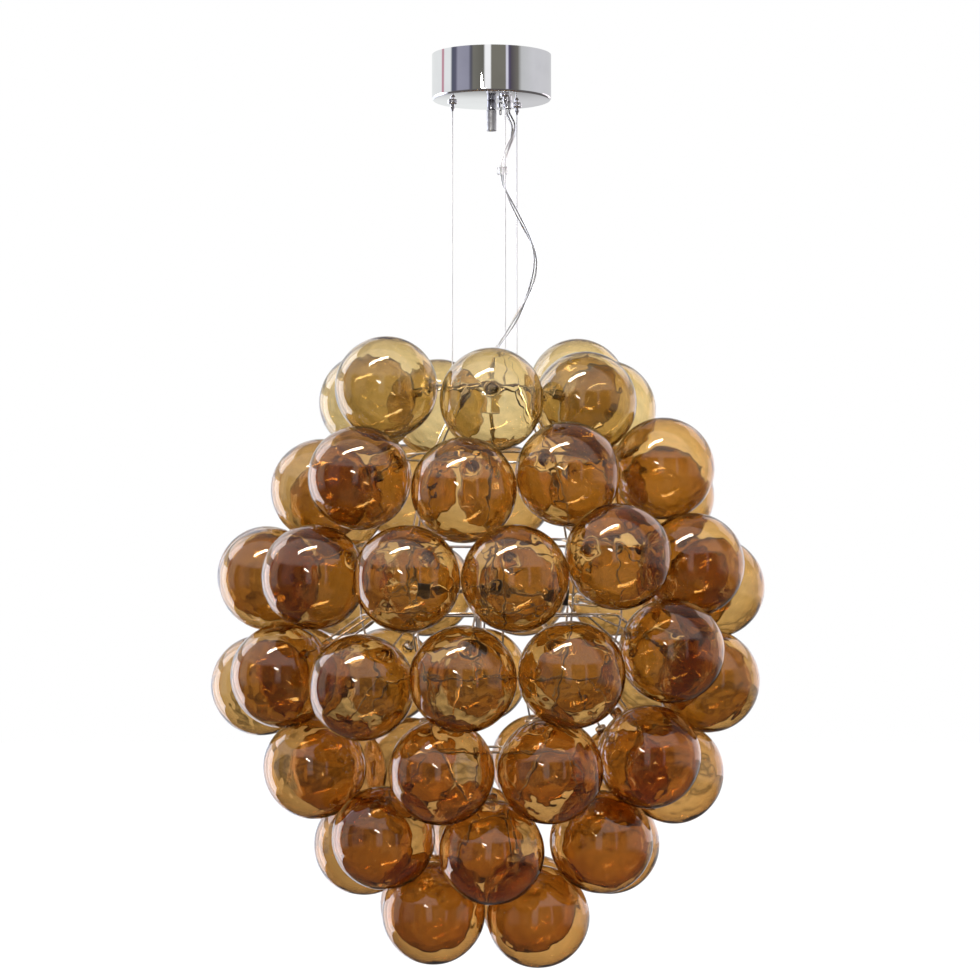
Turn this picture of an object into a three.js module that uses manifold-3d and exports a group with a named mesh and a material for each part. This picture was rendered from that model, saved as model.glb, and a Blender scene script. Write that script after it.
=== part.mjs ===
// Pendant ceiling light: a chrome canopy, three steel suspension wires and a clear flex carry a
// round wire cage that is covered all over with hand-blown amber glass globes. Five small lamps
// sit in the middle of the cage. Millimetres, +Z up, origin where the lamp's axis meets the ceiling.
// A turn is an angle about the axis, in degrees, from the front (-Y) towards the right (+X).
import * as THREE from "three";
import Module from "manifold-3d";
import { mergeVertices } from "three/addons/utils/BufferGeometryUtils.js";

const wasm = await Module();
wasm.setup();

// Driving dimensions
const clearance = 0.3; // between pieces that touch
const overrun = 1; // how far a cutting tool passes the face that it cuts
const weldTolerance = 1e-4; // corners nearer than this are one corner

const canopyDiameter = 120;
const canopyHeight = 46;
const canopySheet = 1.4;
const canopyRound = 2.5;

const bracketLength = 96;
const bracketWidth = 24;
const bracketSheet = 2;
const bracketScrewInset = 10; // from the ends of the bracket
const bracketScrewDiameter = 4.6;
const studDiameter = 4;
const studFlangeDiameter = 15;
const studFlangeHeight = 4;
const studReach = 23; // below the canopy
const nutBore = 6.4; // plain, in place of the thread
const nutCollarDiameter = 8.8;
const nutCollarHeight = 9.5;
const nutSleeveDiameter = 10;
const nutSleeveHeight = 21;
const blockLength = 30;
const blockWidth = 18;
const blockHeight = 15;
const blockOffset = 30;
const terminalDiameter = 5;
const terminalDepth = 6;
const terminalPitch = 9;

const wireDiameter = 1.2;
const wireInset = 20; // from the canopy's rim
const wireReach = canopyDiameter / 2 - wireInset;
const wireTurns = [20, 140, 260];
const ferruleDiameter = 3.2;
const ferruleLength = 7;
const gripperFlangeDiameter = 10;
const gripperFlangeHeight = 1.2;
const gripperSkirtHeight = 1.3;
const gripperStemDiameter = 6.4;
const gripperStemHeight = 9;
const gripperBore = 1.8;
const noseStemDiameter = 4;
const noseStemDepth = 1.6; // how far it stands inside the gripper
const noseDiameter = 5.4;
const noseRimHeight = 0.8;
const noseConeHeight = 3.6;
const noseTipDiameter = 2.8;
const noseTravel = 2;

const cordDiameter = 5;
const glandX = 16.5;
const glandY = 4;
const glandDiameter = 8.4;
const glandHeight = 8;
const glandStemDiameter = 7.4;
const glandStemHeight = 6;
const glandLugReach = 7.5;
const glandLugWidth = 6;
const glandLugHeight = 3;
const glandLugDrop = 6;
const glandScrewDiameter = 2.6;
const glandScrewHeadDiameter = 4.4;
const glandScrewHeadHeight = 2;
const glandScrewLength = 11;
const clipWall = 1.6;
const clipCordBore = 6.8;
const clipHeight = 7;
const clipDrop = 76; // below the canopy

const crownDrop = 348.5; // from the ceiling to the centres of the top row of globes
const globeDiameter = 101;
const globeGap = 0.3;
const glassThickness = 1.6;
const neckDiameter = 11;
const neckBore = 8;
const neckLength = 7;
const contactDiameter = 4;

const ringWire = 2.6; // thickness of the cage's round wire
const ribWire = 2.2;
const armWire = 2.2;
const plugDiameter = 7;
const plugLead = 3; // outside the neck
const plugLength = 8; // inside the neck
const eyeReach = 5.4;

const anchorDiameter = 17;
const anchorHeight = 19;
const anchorNeckDiameter = 8;
const anchorNeckHeight = 6;
const hubDrop = 538.5;
const hubDiameter = 36;
const hubHeight = 14;
const stemDiameter = 4;
const limbDiameter = 7;
const limbReach = 53; // from the axis to the back of a lamp holder
const downLimbReach = 38; // below the hub's middle
const downLimbOffset = 13.5;
const holderRingDiameter = 17;
const holderRingLength = 6;
const holderDiameter = 15.6;
const holderLength = 18;
const socketDiameter = 10.4;
const socketDepth = 12;
const bulbBaseDiameter = 9.4;
const bulbBaseLength = 10;
const bulbDiameter = 13;
const bulbLength = 33;
const limbs = [
  { name: "left", turn: -90, fall: 0 },
  { name: "front", turn: 0, fall: 0 },
  { name: "right", turn: 90, fall: 6 },
  { name: "rear", turn: 180, fall: 0 },
];

// The shade's plan. One pitch is a globe and the gap to the next, and every share is a share of it.
// Each row of globes has its reach from the axis and its drop below the top row, the same two of
// the cage ring that carries it, and its groups of globes that touch. A place is its turn, how far
// it is lifted above its row, and how far it stands out of it.
const rowShares = [
  {
    name: "crown",
    reach: 1.165,
    drop: 0,
    ring: { reach: 0.395, drop: -0.138 },
    groups: [
      [[-152, 0, 0], [-103, 0, 0.09], [-55, 0.07, 0.08]],
      [[0, -0.08, 0], [51, -0.08, 0], [102, -0.08, 0]],
      [[143, 0.22, 0.3]],
    ],
  },
  {
    name: "second",
    reach: 1.728,
    drop: 0.839,
    ring: { reach: 0.958, drop: 0.563 },
    groups: [
      [[-8.6, -0.13, 0], [25.3, 0.03, -0.05]],
      [[76, 0.14, 0], [108, -0.08, 0.1], [141, 0, 0], [175, 0, 0]],
      [[211, 0, 0], [245, -0.15, 0], [279, -0.06, -0.04], [313.3, 0.01, 0]],
    ],
  },
  {
    name: "third",
    reach: 2.221,
    drop: 1.728,
    ring: { reach: 1.293, drop: 1.412 },
    groups: [
      [[-101.5, 0, 0.07], [-75.7, -0.05, 0], [-49, -0.05, 0]],
      [[-20.6, -0.08, 0], [5.6, -0.08, 0], [31, 0.13, 0.06]],
      [[65, 0.08, -0.09], [91.5, -0.12, -0.02], [117.5, -0.07, 0.02]],
      [[145, -0.1, 0], [171.5, -0.1, 0], [198, -0.1, 0], [224.5, -0.1, 0]],
    ],
  },
  {
    name: "fourth",
    reach: 2.192,
    drop: 2.734,
    ring: { reach: 1.283, drop: 2.122 },
    groups: [
      [[-118, 0, 0], [-92, -0.08, 0.08], [-66, 0.02, 0]],
      [[-33.6, -0.08, 0], [-6.9, 0, 0], [19.7, 0.04, 0]],
      [[49.5, 0.26, 0.04], [75, -0.03, -0.02], [102, -0.06, 0]],
      [[130, 0, 0], [156.5, 0, 0], [183, 0, 0], [209.5, 0, 0]],
    ],
  },
  {
    name: "fifth",
    reach: 1.777,
    drop: 3.633,
    ring: { reach: 1.135, drop: 2.744 },
    groups: [
      [[-119, -0.06, 0], [-152, -0.03, 0]],
      [[-75, 0.03, 0]],
      [[-15.4, 0.03, -0.02], [18.3, 0.04, -0.04]],
      [[57.9, 0.15, 0], [90, -0.04, 0.01]],
      [[131, -0.1, 0], [164, 0, 0]],
    ],
  },
  {
    name: "sixth",
    reach: 1.283,
    drop: 4.363,
    ring: { reach: 0.839, drop: 3.445 },
    groups: [
      [[-96, -0.02, -0.02], [-51, 0.1, 0.05]],
      [[0, -0.01, -0.04]],
      [[60.8, 0.05, -0.07], [109.5, -0.03, -0.04]],
      [[186, 0.02, 0.02]],
    ],
  },
  {
    name: "lowest",
    reach: 0.711,
    drop: 5.025,
    ring: { reach: 0.217, drop: 4.087 },
    groups: [
      [[151.6, 0.01, 0.12], [-136.3, 0.01, 0.18], [-57, 0.01, -0.04], [57, -0.03, -0.17]],
    ],
  },
];
const longRibTurns = [-38, 38, 142, 218];
const shortRibTurns = [-86, 5, 94, 185];
const contactDepthShare = 0.845; // of a globe's radius, where a contact spot begins

// The flex's route, chosen by hand: out of the gland, past the front wire, into the cage's top
const cordRoute = [
  [16.5, 4, -54.7],
  [16.7, 3.8, -58.5],
  [19.2, 2, -64],
  [21.6, -2, -70],
  [22.2, -8, -77.5],
  [20.4, -15, -86],
  [16.8, -22, -95.5],
  [13.2, -28, -106],
  [11, -31.4, -116.5],
  [10.9, -32, -127],
  [13, -31.5, -138],
  [18, -29, -150],
  [25, -25, -163],
  [32.6, -21, -176.5],
  [39.4, -17, -190.5],
  [43.2, -13.5, -205],
  [43.2, -10.5, -219.5],
  [39.6, -8, -234.5],
  [33.4, -5.6, -249.5],
  [26, -3.6, -264],
  [17.4, -1.8, -278.5],
  [8.8, -0.6, -291.5],
  [2.4, 0, -304],
  [0, 0, -316],
  [0, 0, -328],
];
const cordSides = 8;
const cordSteps = 26;

const globeSides = 8;
const globeOuterSteps = 4;
const globeInnerSteps = 4;
const contactSides = 3;
const wireSides = 4;
const ringSteps = 24;
const ribSpanSteps = 2;
const canopySides = 28;
const fineSides = 12;
const smallSides = 8;
const roundSteps = 2;

// Materials
const chrome = new THREE.MeshStandardMaterial({ color: 0xd6d7da, roughness: 0.07, metalness: 1 });
const steel = new THREE.MeshStandardMaterial({ color: 0xb4b5b8, roughness: 0.25, metalness: 1 });
const greyMetal = new THREE.MeshStandardMaterial({ color: 0x9b9b9b, roughness: 0.5, metalness: 0.8 });
const zincSteel = new THREE.MeshStandardMaterial({ color: 0xa9adb0, roughness: 0.4, metalness: 0.9 });
const blackCeramic = new THREE.MeshStandardMaterial({ color: 0x1d1b1a, roughness: 0.55 });
const whitePlastic = new THREE.MeshStandardMaterial({ color: 0xe9e7e0, roughness: 0.45 });
const clearPlastic = new THREE.MeshStandardMaterial({
  color: 0xe6e6e2,
  roughness: 0.2,
  transparent: true,
  opacity: 0.6,
});
const clearGlass = new THREE.MeshStandardMaterial({
  color: 0xf2f3f3,
  roughness: 0.02,
  transparent: true,
  opacity: 0.45,
});
const amberGlass = new THREE.MeshStandardMaterial({
  color: 0xc08a3c,
  roughness: 0.04,
  transparent: true,
  opacity: 0.55,
});

// Solids
const upward = new THREE.Vector3(0, 0, 1);

function solidOf(geometry) {
  geometry.deleteAttribute("normal");
  geometry.deleteAttribute("uv");
  const merged = mergeVertices(geometry, weldTolerance);
  const vertProperties = new Float32Array(merged.attributes.position.array);
  const triVerts = new Uint32Array(merged.index.array);
  return new wasm.Manifold(new wasm.Mesh({ numProp: 3, vertProperties, triVerts }));
}

function join(solids) {
  return solids.reduce((whole, solid) => whole.add(solid));
}

function cut(solid, tools) {
  return tools.reduce((rest, tool) => rest.subtract(tool), solid);
}

// A turned solid about +Z from a profile of [radius, height] points, in either order.
function turned(profile, sides) {
  let area = 0;
  profile.forEach(([r, z], i) => {
    const [nextR, nextZ] = profile[(i + 1) % profile.length];
    area += r * nextZ - nextR * z;
  });
  const ordered = area > 0 ? profile : [...profile].reverse();
  const points = ordered.map(([r, z]) => new THREE.Vector2(r, z));
  const onAxis = points[0].x === 0 && points.at(-1).x === 0;
  const closed = onAxis ? points : [...points, points[0].clone()];
  return new THREE.LatheGeometry(closed, sides).rotateX(Math.PI / 2);
}

// Stands a geometry's +Z along a direction, with its origin at a point.
function aimed(geometry, from, direction) {
  const facing = new THREE.Quaternion().setFromUnitVectors(upward, direction.clone().normalize());
  return geometry.applyQuaternion(facing).translate(from.x, from.y, from.z);
}

function rod(from, to, radius, sides) {
  const span = new THREE.Vector3().subVectors(to, from);
  return aimed(turned([[0, 0], [radius, 0], [radius, span.length()], [0, span.length()]], sides), from, span);
}

function drilled(x, y, lowest, highest, radius, sides) {
  const from = new THREE.Vector3(x, y, lowest);
  return solidOf(rod(from, new THREE.Vector3(x, y, highest), radius, sides));
}

function block(width, depth, height, x, y, z) {
  return new THREE.BoxGeometry(width, depth, height).translate(x, y, z);
}

function radial(turn, reach, height) {
  const angle = THREE.MathUtils.degToRad(turn);
  return new THREE.Vector3(reach * Math.sin(angle), -reach * Math.cos(angle), height);
}

const lamp = new THREE.Group();

function piece(name, solid, material) {
  const made = solid.getMesh();
  const geometry = new THREE.BufferGeometry();
  geometry.setAttribute("position", new THREE.BufferAttribute(new Float32Array(made.vertProperties), 3));
  geometry.setIndex(new THREE.BufferAttribute(new Uint32Array(made.triVerts), 1));
  const mesh = new THREE.Mesh(geometry, material);
  mesh.name = name;
  lamp.add(mesh);
}

// Canopy: bracket, stud, terminal block, cup and nut
const plateUnder = -canopyHeight;
const plateTop = plateUnder + canopySheet;
const bracketUnder = -bracketSheet;
const studHole = studDiameter / 2 + clearance;

function makeBracket() {
  const plate = solidOf(block(bracketLength, bracketWidth, bracketSheet, 0, 0, -bracketSheet / 2));
  const holes = [-1, 1].map((side) =>
    drilled(
      side * (bracketLength / 2 - bracketScrewInset),
      0,
      bracketUnder - overrun,
      overrun,
      bracketScrewDiameter / 2,
      smallSides,
    ),
  );
  const studWay = drilled(0, 0, bracketUnder - overrun, overrun, studHole, fineSides);
  piece("ceiling_bracket", cut(plate, [...holes, studWay]), zincSteel);
}

function makeStud() {
  const top = bracketUnder - clearance;
  const flange = studFlangeDiameter / 2;
  const core = studDiameter / 2;
  const profile = [
    [0, -clearance],
    [core, -clearance],
    [core, top],
    [flange, top],
    [flange, top - studFlangeHeight],
    [core, top - studFlangeHeight],
    [core, plateUnder - studReach],
    [0, plateUnder - studReach],
  ];
  piece("mounting_stud", solidOf(turned(profile, fineSides)), zincSteel);
}

function makeTerminalBlock() {
  const top = bracketUnder - clearance;
  const body = solidOf(block(blockLength, blockWidth, blockHeight, -blockOffset, 0, top - blockHeight / 2));
  const under = top - blockHeight;
  const wells = [-1, 0, 1].map((place) =>
    drilled(
      -blockOffset + place * terminalPitch,
      0,
      under - overrun,
      under + terminalDepth,
      terminalDiameter / 2,
      smallSides,
    ),
  );
  piece("terminal_block", cut(body, wells), whitePlastic);
}

function makeCup() {
  const outer = canopyDiameter / 2;
  const inner = outer - canopySheet;
  const corner = [];
  for (let i = 0; i <= roundSteps; i++) {
    const angle = ((i / roundSteps) * Math.PI) / 2;
    corner.push([
      outer - canopyRound + canopyRound * Math.cos(angle),
      plateUnder + canopyRound - canopyRound * Math.sin(angle),
    ]);
  }
  const profile = [[outer, 0], ...corner, [studHole, plateUnder], [studHole, plateTop], [inner, plateTop], [inner, 0]];
  const low = plateUnder - overrun;
  const high = plateTop + overrun;
  const gripperHoles = wireTurns.map((turn) => {
    const at = radial(turn, wireReach, 0);
    return drilled(at.x, at.y, low, high, gripperStemDiameter / 2 + clearance, smallSides);
  });
  const glandHole = drilled(glandX, glandY, low, high, glandStemDiameter / 2 + clearance, smallSides);
  piece("canopy_cup", cut(solidOf(turned(profile, canopySides)), [...gripperHoles, glandHole]), chrome);
}

function makeNut() {
  const top = plateUnder - clearance;
  const bore = nutBore / 2;
  const collar = nutCollarDiameter / 2;
  const sleeve = nutSleeveDiameter / 2;
  const under = top - nutCollarHeight - nutSleeveHeight;
  const boreEnd = plateUnder - studReach - overrun;
  const profile = [
    [0, boreEnd],
    [bore, boreEnd],
    [bore, top],
    [collar, top],
    [collar, top - nutCollarHeight],
    [sleeve, top - nutCollarHeight],
    [sleeve, under],
    [0, under],
  ];
  piece("canopy_nut", solidOf(turned(profile, fineSides)), greyMetal);
}

// Wire grippers: a body through the canopy, and the sprung nose that frees the wire when pressed
const gripperTop = plateUnder + gripperStemHeight;
const flangeTop = plateUnder - clearance;
const skirtEnd = flangeTop - gripperFlangeHeight - gripperSkirtHeight;
const noseShoulder = skirtEnd - noseTravel - clearance;
const noseTop = plateUnder + noseStemDepth;
const noseTip = noseShoulder - noseRimHeight - noseConeHeight;

function makeGripper(turn, number) {
  const at = radial(turn, wireReach, 0);
  const bore = gripperBore / 2;
  const stem = gripperStemDiameter / 2;
  const well = noseStemDiameter / 2 + clearance;
  const wellTop = noseTop + noseTravel + clearance;
  const bodyProfile = [
    [bore, gripperTop],
    [stem, gripperTop],
    [stem, flangeTop],
    [gripperFlangeDiameter / 2, flangeTop],
    [gripperFlangeDiameter / 2, flangeTop - gripperFlangeHeight],
    [stem, skirtEnd],
    [well, skirtEnd],
    [well, wellTop],
    [bore, wellTop],
  ];
  const noseProfile = [
    [bore, noseTop],
    [noseStemDiameter / 2, noseTop],
    [noseStemDiameter / 2, noseShoulder],
    [noseDiameter / 2, noseShoulder],
    [noseDiameter / 2, noseShoulder - noseRimHeight],
    [noseTipDiameter / 2, noseTip],
    [bore, noseTip],
  ];
  const body = turned(bodyProfile, smallSides).translate(at.x, at.y, 0);
  const nose = turned(noseProfile, smallSides).translate(at.x, at.y, 0);
  piece(`gripper_body_${number}`, solidOf(body), chrome);
  piece(`gripper_nose_${number}`, solidOf(nose), chrome);
}

// The plan of the shade in real sizes
const pitch = globeDiameter + globeGap;
const globeRadius = globeDiameter / 2;

function heightOf(dropShare) {
  return -crownDrop - dropShare * pitch;
}

const topRing = { reach: wireReach, height: heightOf(rowShares[0].ring.drop) };
const rings = rowShares.map((row, i) =>
  i === 0 ? topRing : { reach: row.ring.reach * pitch, height: heightOf(row.ring.drop) },
);

// A ring is made of straight spans, and the middle of a span lies this much inside its corners.
function sagOf(ring) {
  return ring.reach * (1 - Math.cos(Math.PI / ringSteps));
}

function globeAt(row, ring, [turn, lift, out]) {
  const centre = radial(turn, (row.reach + out) * pitch, heightOf(row.drop - lift));
  const root = radial(turn, ring.reach - sagOf(ring), ring.height);
  const inward = new THREE.Vector3().subVectors(root, centre);
  return { centre, root, inward: inward.clone().normalize(), distance: inward.length() };
}

// Suspension wires, each crimped in a ferrule that stands on the top ring
function makeWire(turn, number) {
  const at = radial(turn, wireReach, 0);
  const top = gripperTop - clearance;
  const under = topRing.height + ringWire / 2 + clearance;
  const thin = wireDiameter / 2;
  const thick = ferruleDiameter / 2;
  const profile = [
    [0, top],
    [thin, top],
    [thin, under + ferruleLength],
    [thick, under + ferruleLength],
    [thick, under],
    [0, under],
  ];
  piece(`suspension_wire_${number}`, solidOf(turned(profile, smallSides).translate(at.x, at.y, 0)), steel);
}

// Flex: its gland with the clamping screw, the free stretch and the clip to the front wire
const glandUnder = flangeTop - glandHeight;
const lugTop = flangeTop - glandLugDrop + glandLugHeight;
const screwX = glandX - glandLugReach;

function makeGland() {
  const wide = glandDiameter / 2;
  const narrow = glandStemDiameter / 2;
  const profile = [
    [0, plateUnder + glandStemHeight],
    [narrow, plateUnder + glandStemHeight],
    [narrow, flangeTop],
    [wide, flangeTop],
    [wide, glandUnder],
    [0, glandUnder],
  ];
  const body = solidOf(turned(profile, smallSides).translate(glandX, glandY, 0));
  const lugLength = glandLugReach + glandScrewDiameter;
  const lugMiddle = glandX - lugLength / 2;
  const lug = block(lugLength, glandLugWidth, glandLugHeight, lugMiddle, glandY, lugTop - glandLugHeight / 2);
  const screwHole = glandScrewDiameter / 2 + clearance;
  const lowest = lugTop - glandLugHeight - overrun;
  const way = drilled(screwX, glandY, lowest, lugTop + overrun, screwHole, smallSides);
  piece("cord_gland", cut(body.add(solidOf(lug)), [way]), chrome);
  const head = lugTop + clearance;
  const screwProfile = [
    [0, head + glandScrewHeadHeight],
    [glandScrewHeadDiameter / 2, head + glandScrewHeadHeight],
    [glandScrewHeadDiameter / 2, head],
    [glandScrewDiameter / 2, head],
    [glandScrewDiameter / 2, head - glandScrewLength],
    [0, head - glandScrewLength],
  ];
  piece("gland_screw", solidOf(turned(screwProfile, smallSides).translate(screwX, glandY, 0)), steel);
}

function circle(radius, sides) {
  const points = [];
  for (let i = 0; i < sides; i++) {
    const angle = (2 * Math.PI * i) / sides;
    points.push(new THREE.Vector2(radius * Math.cos(angle), radius * Math.sin(angle)));
  }
  return new THREE.Shape(points);
}

const cordCurve = new THREE.CatmullRomCurve3(cordRoute.map(([x, y, z]) => new THREE.Vector3(x, y, z)));

function makeCord() {
  const flex = new THREE.ExtrudeGeometry(circle(cordDiameter / 2, cordSides), {
    steps: cordSteps,
    extrudePath: cordCurve,
    bevelEnabled: false,
  });
  piece("power_cord", solidOf(flex), clearPlastic);
}

function makeClip() {
  const height = plateUnder - clipDrop;
  const wire = radial(wireTurns[0], wireReach, height);
  const nearest = cordCurve
    .getSpacedPoints(cordSteps * cordSides)
    .reduce((best, point) => (Math.abs(point.z - height) < Math.abs(best.z - height) ? point : best));
  const cord = new THREE.Vector3(nearest.x, nearest.y, height);
  const cordHole = clipCordBore / 2;
  const wireHole = wireDiameter / 2 + clearance;
  const low = height - clipHeight / 2;
  const high = height + clipHeight / 2;
  const bodies = [
    drilled(cord.x, cord.y, low, high, cordHole + clipWall, fineSides),
    drilled(wire.x, wire.y, low, high, wireHole + clipWall, fineSides),
  ];
  const ways = [
    drilled(cord.x, cord.y, low - overrun, high + overrun, cordHole, fineSides),
    drilled(wire.x, wire.y, low - overrun, high + overrun, wireHole, fineSides),
  ];
  piece("cord_clip", cut(join(bodies), ways), clearPlastic);
}

// Cage: welded rings, the ribs inside them, and an arm for each globe, with a plug in its neck
function ringSolid(ring) {
  const torus = new THREE.TorusGeometry(ring.reach, ringWire / 2, wireSides, ringSteps);
  return solidOf(torus.translate(0, 0, ring.height));
}

function armSolid(globe) {
  const neckRim = globe.distance - globeRadius - neckLength;
  const profile = [
    [0, 0],
    [armWire / 2, 0],
    [armWire / 2, neckRim - plugLead],
    [plugDiameter / 2, neckRim + plugLength / 2],
    [0, neckRim + plugLength],
  ];
  return solidOf(aimed(turned(profile, wireSides), globe.root, globe.inward.clone().negate()));
}

// A curve whose steps go by its places and not by its length, so that it bends right at each ring.
class RibCurve extends THREE.CatmullRomCurve3 {
  getPointAt(share) {
    return this.getPoint(share);
  }

  getTangentAt(share) {
    return this.getTangent(share);
  }
}

function ribSolid(turn, places) {
  const points = places.map((place) => radial(turn, place.reach, place.height));
  const section = circle(ribWire / 2, wireSides);
  const extrudePath = new RibCurve(points, false, "chordal");
  const steps = ribSpanSteps * (places.length - 1);
  return solidOf(new THREE.ExtrudeGeometry(section, { steps, extrudePath, bevelEnabled: false }));
}

const ribInset = ringWire / 2 + ribWire / 2 + clearance;

// Where a rib passes a ring: inside it, square to the slope between the rings above and below.
function insideOf(i) {
  const [above, ring, below] = rings.slice(i - 1, i + 2);
  const inward = new THREE.Vector2(below.height - above.height, above.reach - below.reach).setLength(ribInset);
  return { reach: ring.reach - sagOf(ring) + inward.x, height: ring.height + inward.y };
}

const globeRows = rowShares.map((row, i) =>
  row.groups.map((group) => group.map((place) => globeAt(row, rings[i], place))),
);

function makeFrame() {
  const [top, lowest] = [rings[0], rings.at(-1)];
  const way = [top, ...rings.slice(1, -1).map((ring, i) => insideOf(i + 1)), lowest];
  const ribs = longRibTurns.map((turn) => ribSolid(turn, way));
  const spokes = wireTurns.map((turn) =>
    solidOf(
      rod(radial(turn, eyeReach, top.height), radial(turn, top.reach, top.height), ribWire / 2, wireSides),
    ),
  );
  const eye = solidOf(new THREE.TorusGeometry(eyeReach, ribWire / 2, wireSides, smallSides).translate(0, 0, top.height));
  const arms = [globeRows[0], globeRows.at(-1)].flat(2).map(armSolid);
  piece("cage_frame", join([ringSolid(top), ringSolid(lowest), eye, ...spokes, ...ribs, ...arms]), chrome);
}

function makeRing(i) {
  const solids = [ringSolid(rings[i]), ...globeRows[i].flat().map(armSolid)];
  if (i === middleRing) {
    const welded = { reach: rings[i].reach - sagOf(rings[i]), height: rings[i].height };
    const way = [insideOf(i - 1), welded, insideOf(i + 1)];
    solids.push(...shortRibTurns.map((turn) => ribSolid(turn, way)));
  }
  piece(`cage_ring_${i + 1}`, join(solids), chrome);
}

// Globes: hollow, with an open neck that faces the cage, joined where neighbours touch
function globeSolid(globe) {
  const neck = neckDiameter / 2;
  const bore = neckBore / 2;
  const inside = globeRadius - glassThickness;
  const profile = [];
  const outerEnd = Math.acos(neck / globeRadius) + Math.PI / 2;
  for (let i = 0; i <= globeOuterSteps; i++) {
    const angle = (outerEnd * i) / globeOuterSteps;
    profile.push([i ? globeRadius * Math.sin(angle) : 0, -globeRadius * Math.cos(angle)]);
  }
  profile.push([neck, globeRadius + neckLength], [bore, globeRadius + neckLength]);
  const innerEnd = Math.acos(bore / inside) + Math.PI / 2;
  for (let i = globeInnerSteps; i >= 0; i--) {
    const angle = (innerEnd * i) / globeInnerSteps;
    profile.push([i ? inside * Math.sin(angle) : 0, -inside * Math.cos(angle)]);
  }
  return solidOf(aimed(turned(profile, globeSides), globe.centre, globe.inward));
}

function contactSolid(one, next) {
  const depth = globeRadius * contactDepthShare;
  const along = new THREE.Vector3().subVectors(next.centre, one.centre).normalize();
  const from = one.centre.clone().addScaledVector(along, depth);
  const to = next.centre.clone().addScaledVector(along, -depth);
  return solidOf(rod(from, to, contactDiameter / 2, contactSides));
}

function makeGlobes(row, groups) {
  groups.forEach((group, i) => {
    const contacts = group.slice(1).map((globe, n) => contactSolid(group[n], globe));
    piece(`globes_${row.name}_${i + 1}`, join([...group.map(globeSolid), ...contacts]), amberGlass);
  });
}

// Lamp cluster: the cord anchor under the top ring, the hub with its limbs, holders and bulbs
const anchorTop = topRing.height - ribWire / 2 - clearance;
const anchorUnder = anchorTop - anchorNeckHeight - anchorHeight;

function makeAnchor() {
  const profile = [
    [0, anchorTop],
    [anchorNeckDiameter / 2, anchorTop],
    [anchorNeckDiameter / 2, anchorTop - anchorNeckHeight],
    [anchorDiameter / 2, anchorTop - anchorNeckHeight],
    [anchorDiameter / 2, anchorUnder],
    [0, anchorUnder],
  ];
  piece("cord_anchor", solidOf(turned(profile, fineSides)), clearPlastic);
}

function limbOf({ turn, fall }) {
  const level = radial(turn, 1, 0);
  const slope = THREE.MathUtils.degToRad(fall);
  const direction = level.multiplyScalar(Math.cos(slope)).addScaledVector(upward, -Math.sin(slope));
  const start = new THREE.Vector3(0, 0, -hubDrop);
  return { direction, start, end: start.clone().addScaledVector(direction, limbReach) };
}

const downLimb = {
  direction: upward.clone().negate(),
  start: new THREE.Vector3(-downLimbOffset, 0, -hubDrop),
  end: new THREE.Vector3(-downLimbOffset, 0, -hubDrop - downLimbReach),
};
const lampLimbs = [...limbs.map((limb) => [limb.name, limbOf(limb)]), ["down", downLimb]];

function makeHub() {
  const middle = new THREE.Vector3(0, 0, -hubDrop);
  const low = middle.clone().addScaledVector(upward, -hubHeight / 2);
  const high = middle.clone().addScaledVector(upward, hubHeight / 2);
  const body = solidOf(rod(low, high, hubDiameter / 2, fineSides));
  const stem = solidOf(rod(middle, new THREE.Vector3(0, 0, anchorUnder - clearance), stemDiameter / 2, smallSides));
  const tubes = lampLimbs.map(([, limb]) => solidOf(rod(limb.start, limb.end, limbDiameter / 2, smallSides)));
  piece("lamp_hub", join([body, stem, ...tubes]), chrome);
}

function makeLamp([name, limb]) {
  const start = clearance;
  const ringEnd = start + holderRingLength;
  const mouth = ringEnd + holderLength;
  const floor = mouth - socketDepth;
  const socket = socketDiameter / 2;
  const holderProfile = [
    [0, start],
    [holderRingDiameter / 2, start],
    [holderRingDiameter / 2, ringEnd],
    [holderDiameter / 2, ringEnd],
    [holderDiameter / 2, mouth],
    [socket, mouth],
    [socket, floor],
    [0, floor],
  ];
  const holder = aimed(turned(holderProfile, fineSides), limb.end, limb.direction);
  piece(`lamp_holder_${name}`, solidOf(holder), blackCeramic);
  const shoulder = mouth + clearance;
  const base = shoulder - bulbBaseLength;
  const dome = bulbDiameter / 2;
  const tip = shoulder + bulbLength;
  const bulbProfile = [
    [0, base],
    [bulbBaseDiameter / 2, base],
    [bulbBaseDiameter / 2, shoulder],
    [dome, shoulder],
  ];
  for (let i = 0; i <= roundSteps; i++) {
    const angle = ((i / roundSteps) * Math.PI) / 2;
    bulbProfile.push([i < roundSteps ? dome * Math.cos(angle) : 0, tip - dome + dome * Math.sin(angle)]);
  }
  const bulb = aimed(turned(bulbProfile, smallSides), limb.end, limb.direction);
  piece(`bulb_${name}`, solidOf(bulb), clearGlass);
}

// Put together from the ceiling down
const middleRing = 3;
makeBracket();
makeStud();
makeTerminalBlock();
makeCup();
makeNut();
wireTurns.forEach((turn, i) => makeGripper(turn, i + 1));
wireTurns.forEach((turn, i) => makeWire(turn, i + 1));
makeGland();
makeCord();
makeClip();
makeFrame();
rings.slice(1, -1).forEach((ring, i) => makeRing(i + 1));
makeAnchor();
makeHub();
lampLimbs.forEach(makeLamp);
rowShares.forEach((row, i) => makeGlobes(row, globeRows[i]));

export default lamp;
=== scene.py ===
"""Pendant ceiling light: amber glass globes on a round wire cage, hung from a chrome canopy."""

from math import acos, atan2, cos, hypot, pi, radians, sin

import bmesh
import bpy
from mathutils import Matrix, Vector


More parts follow.
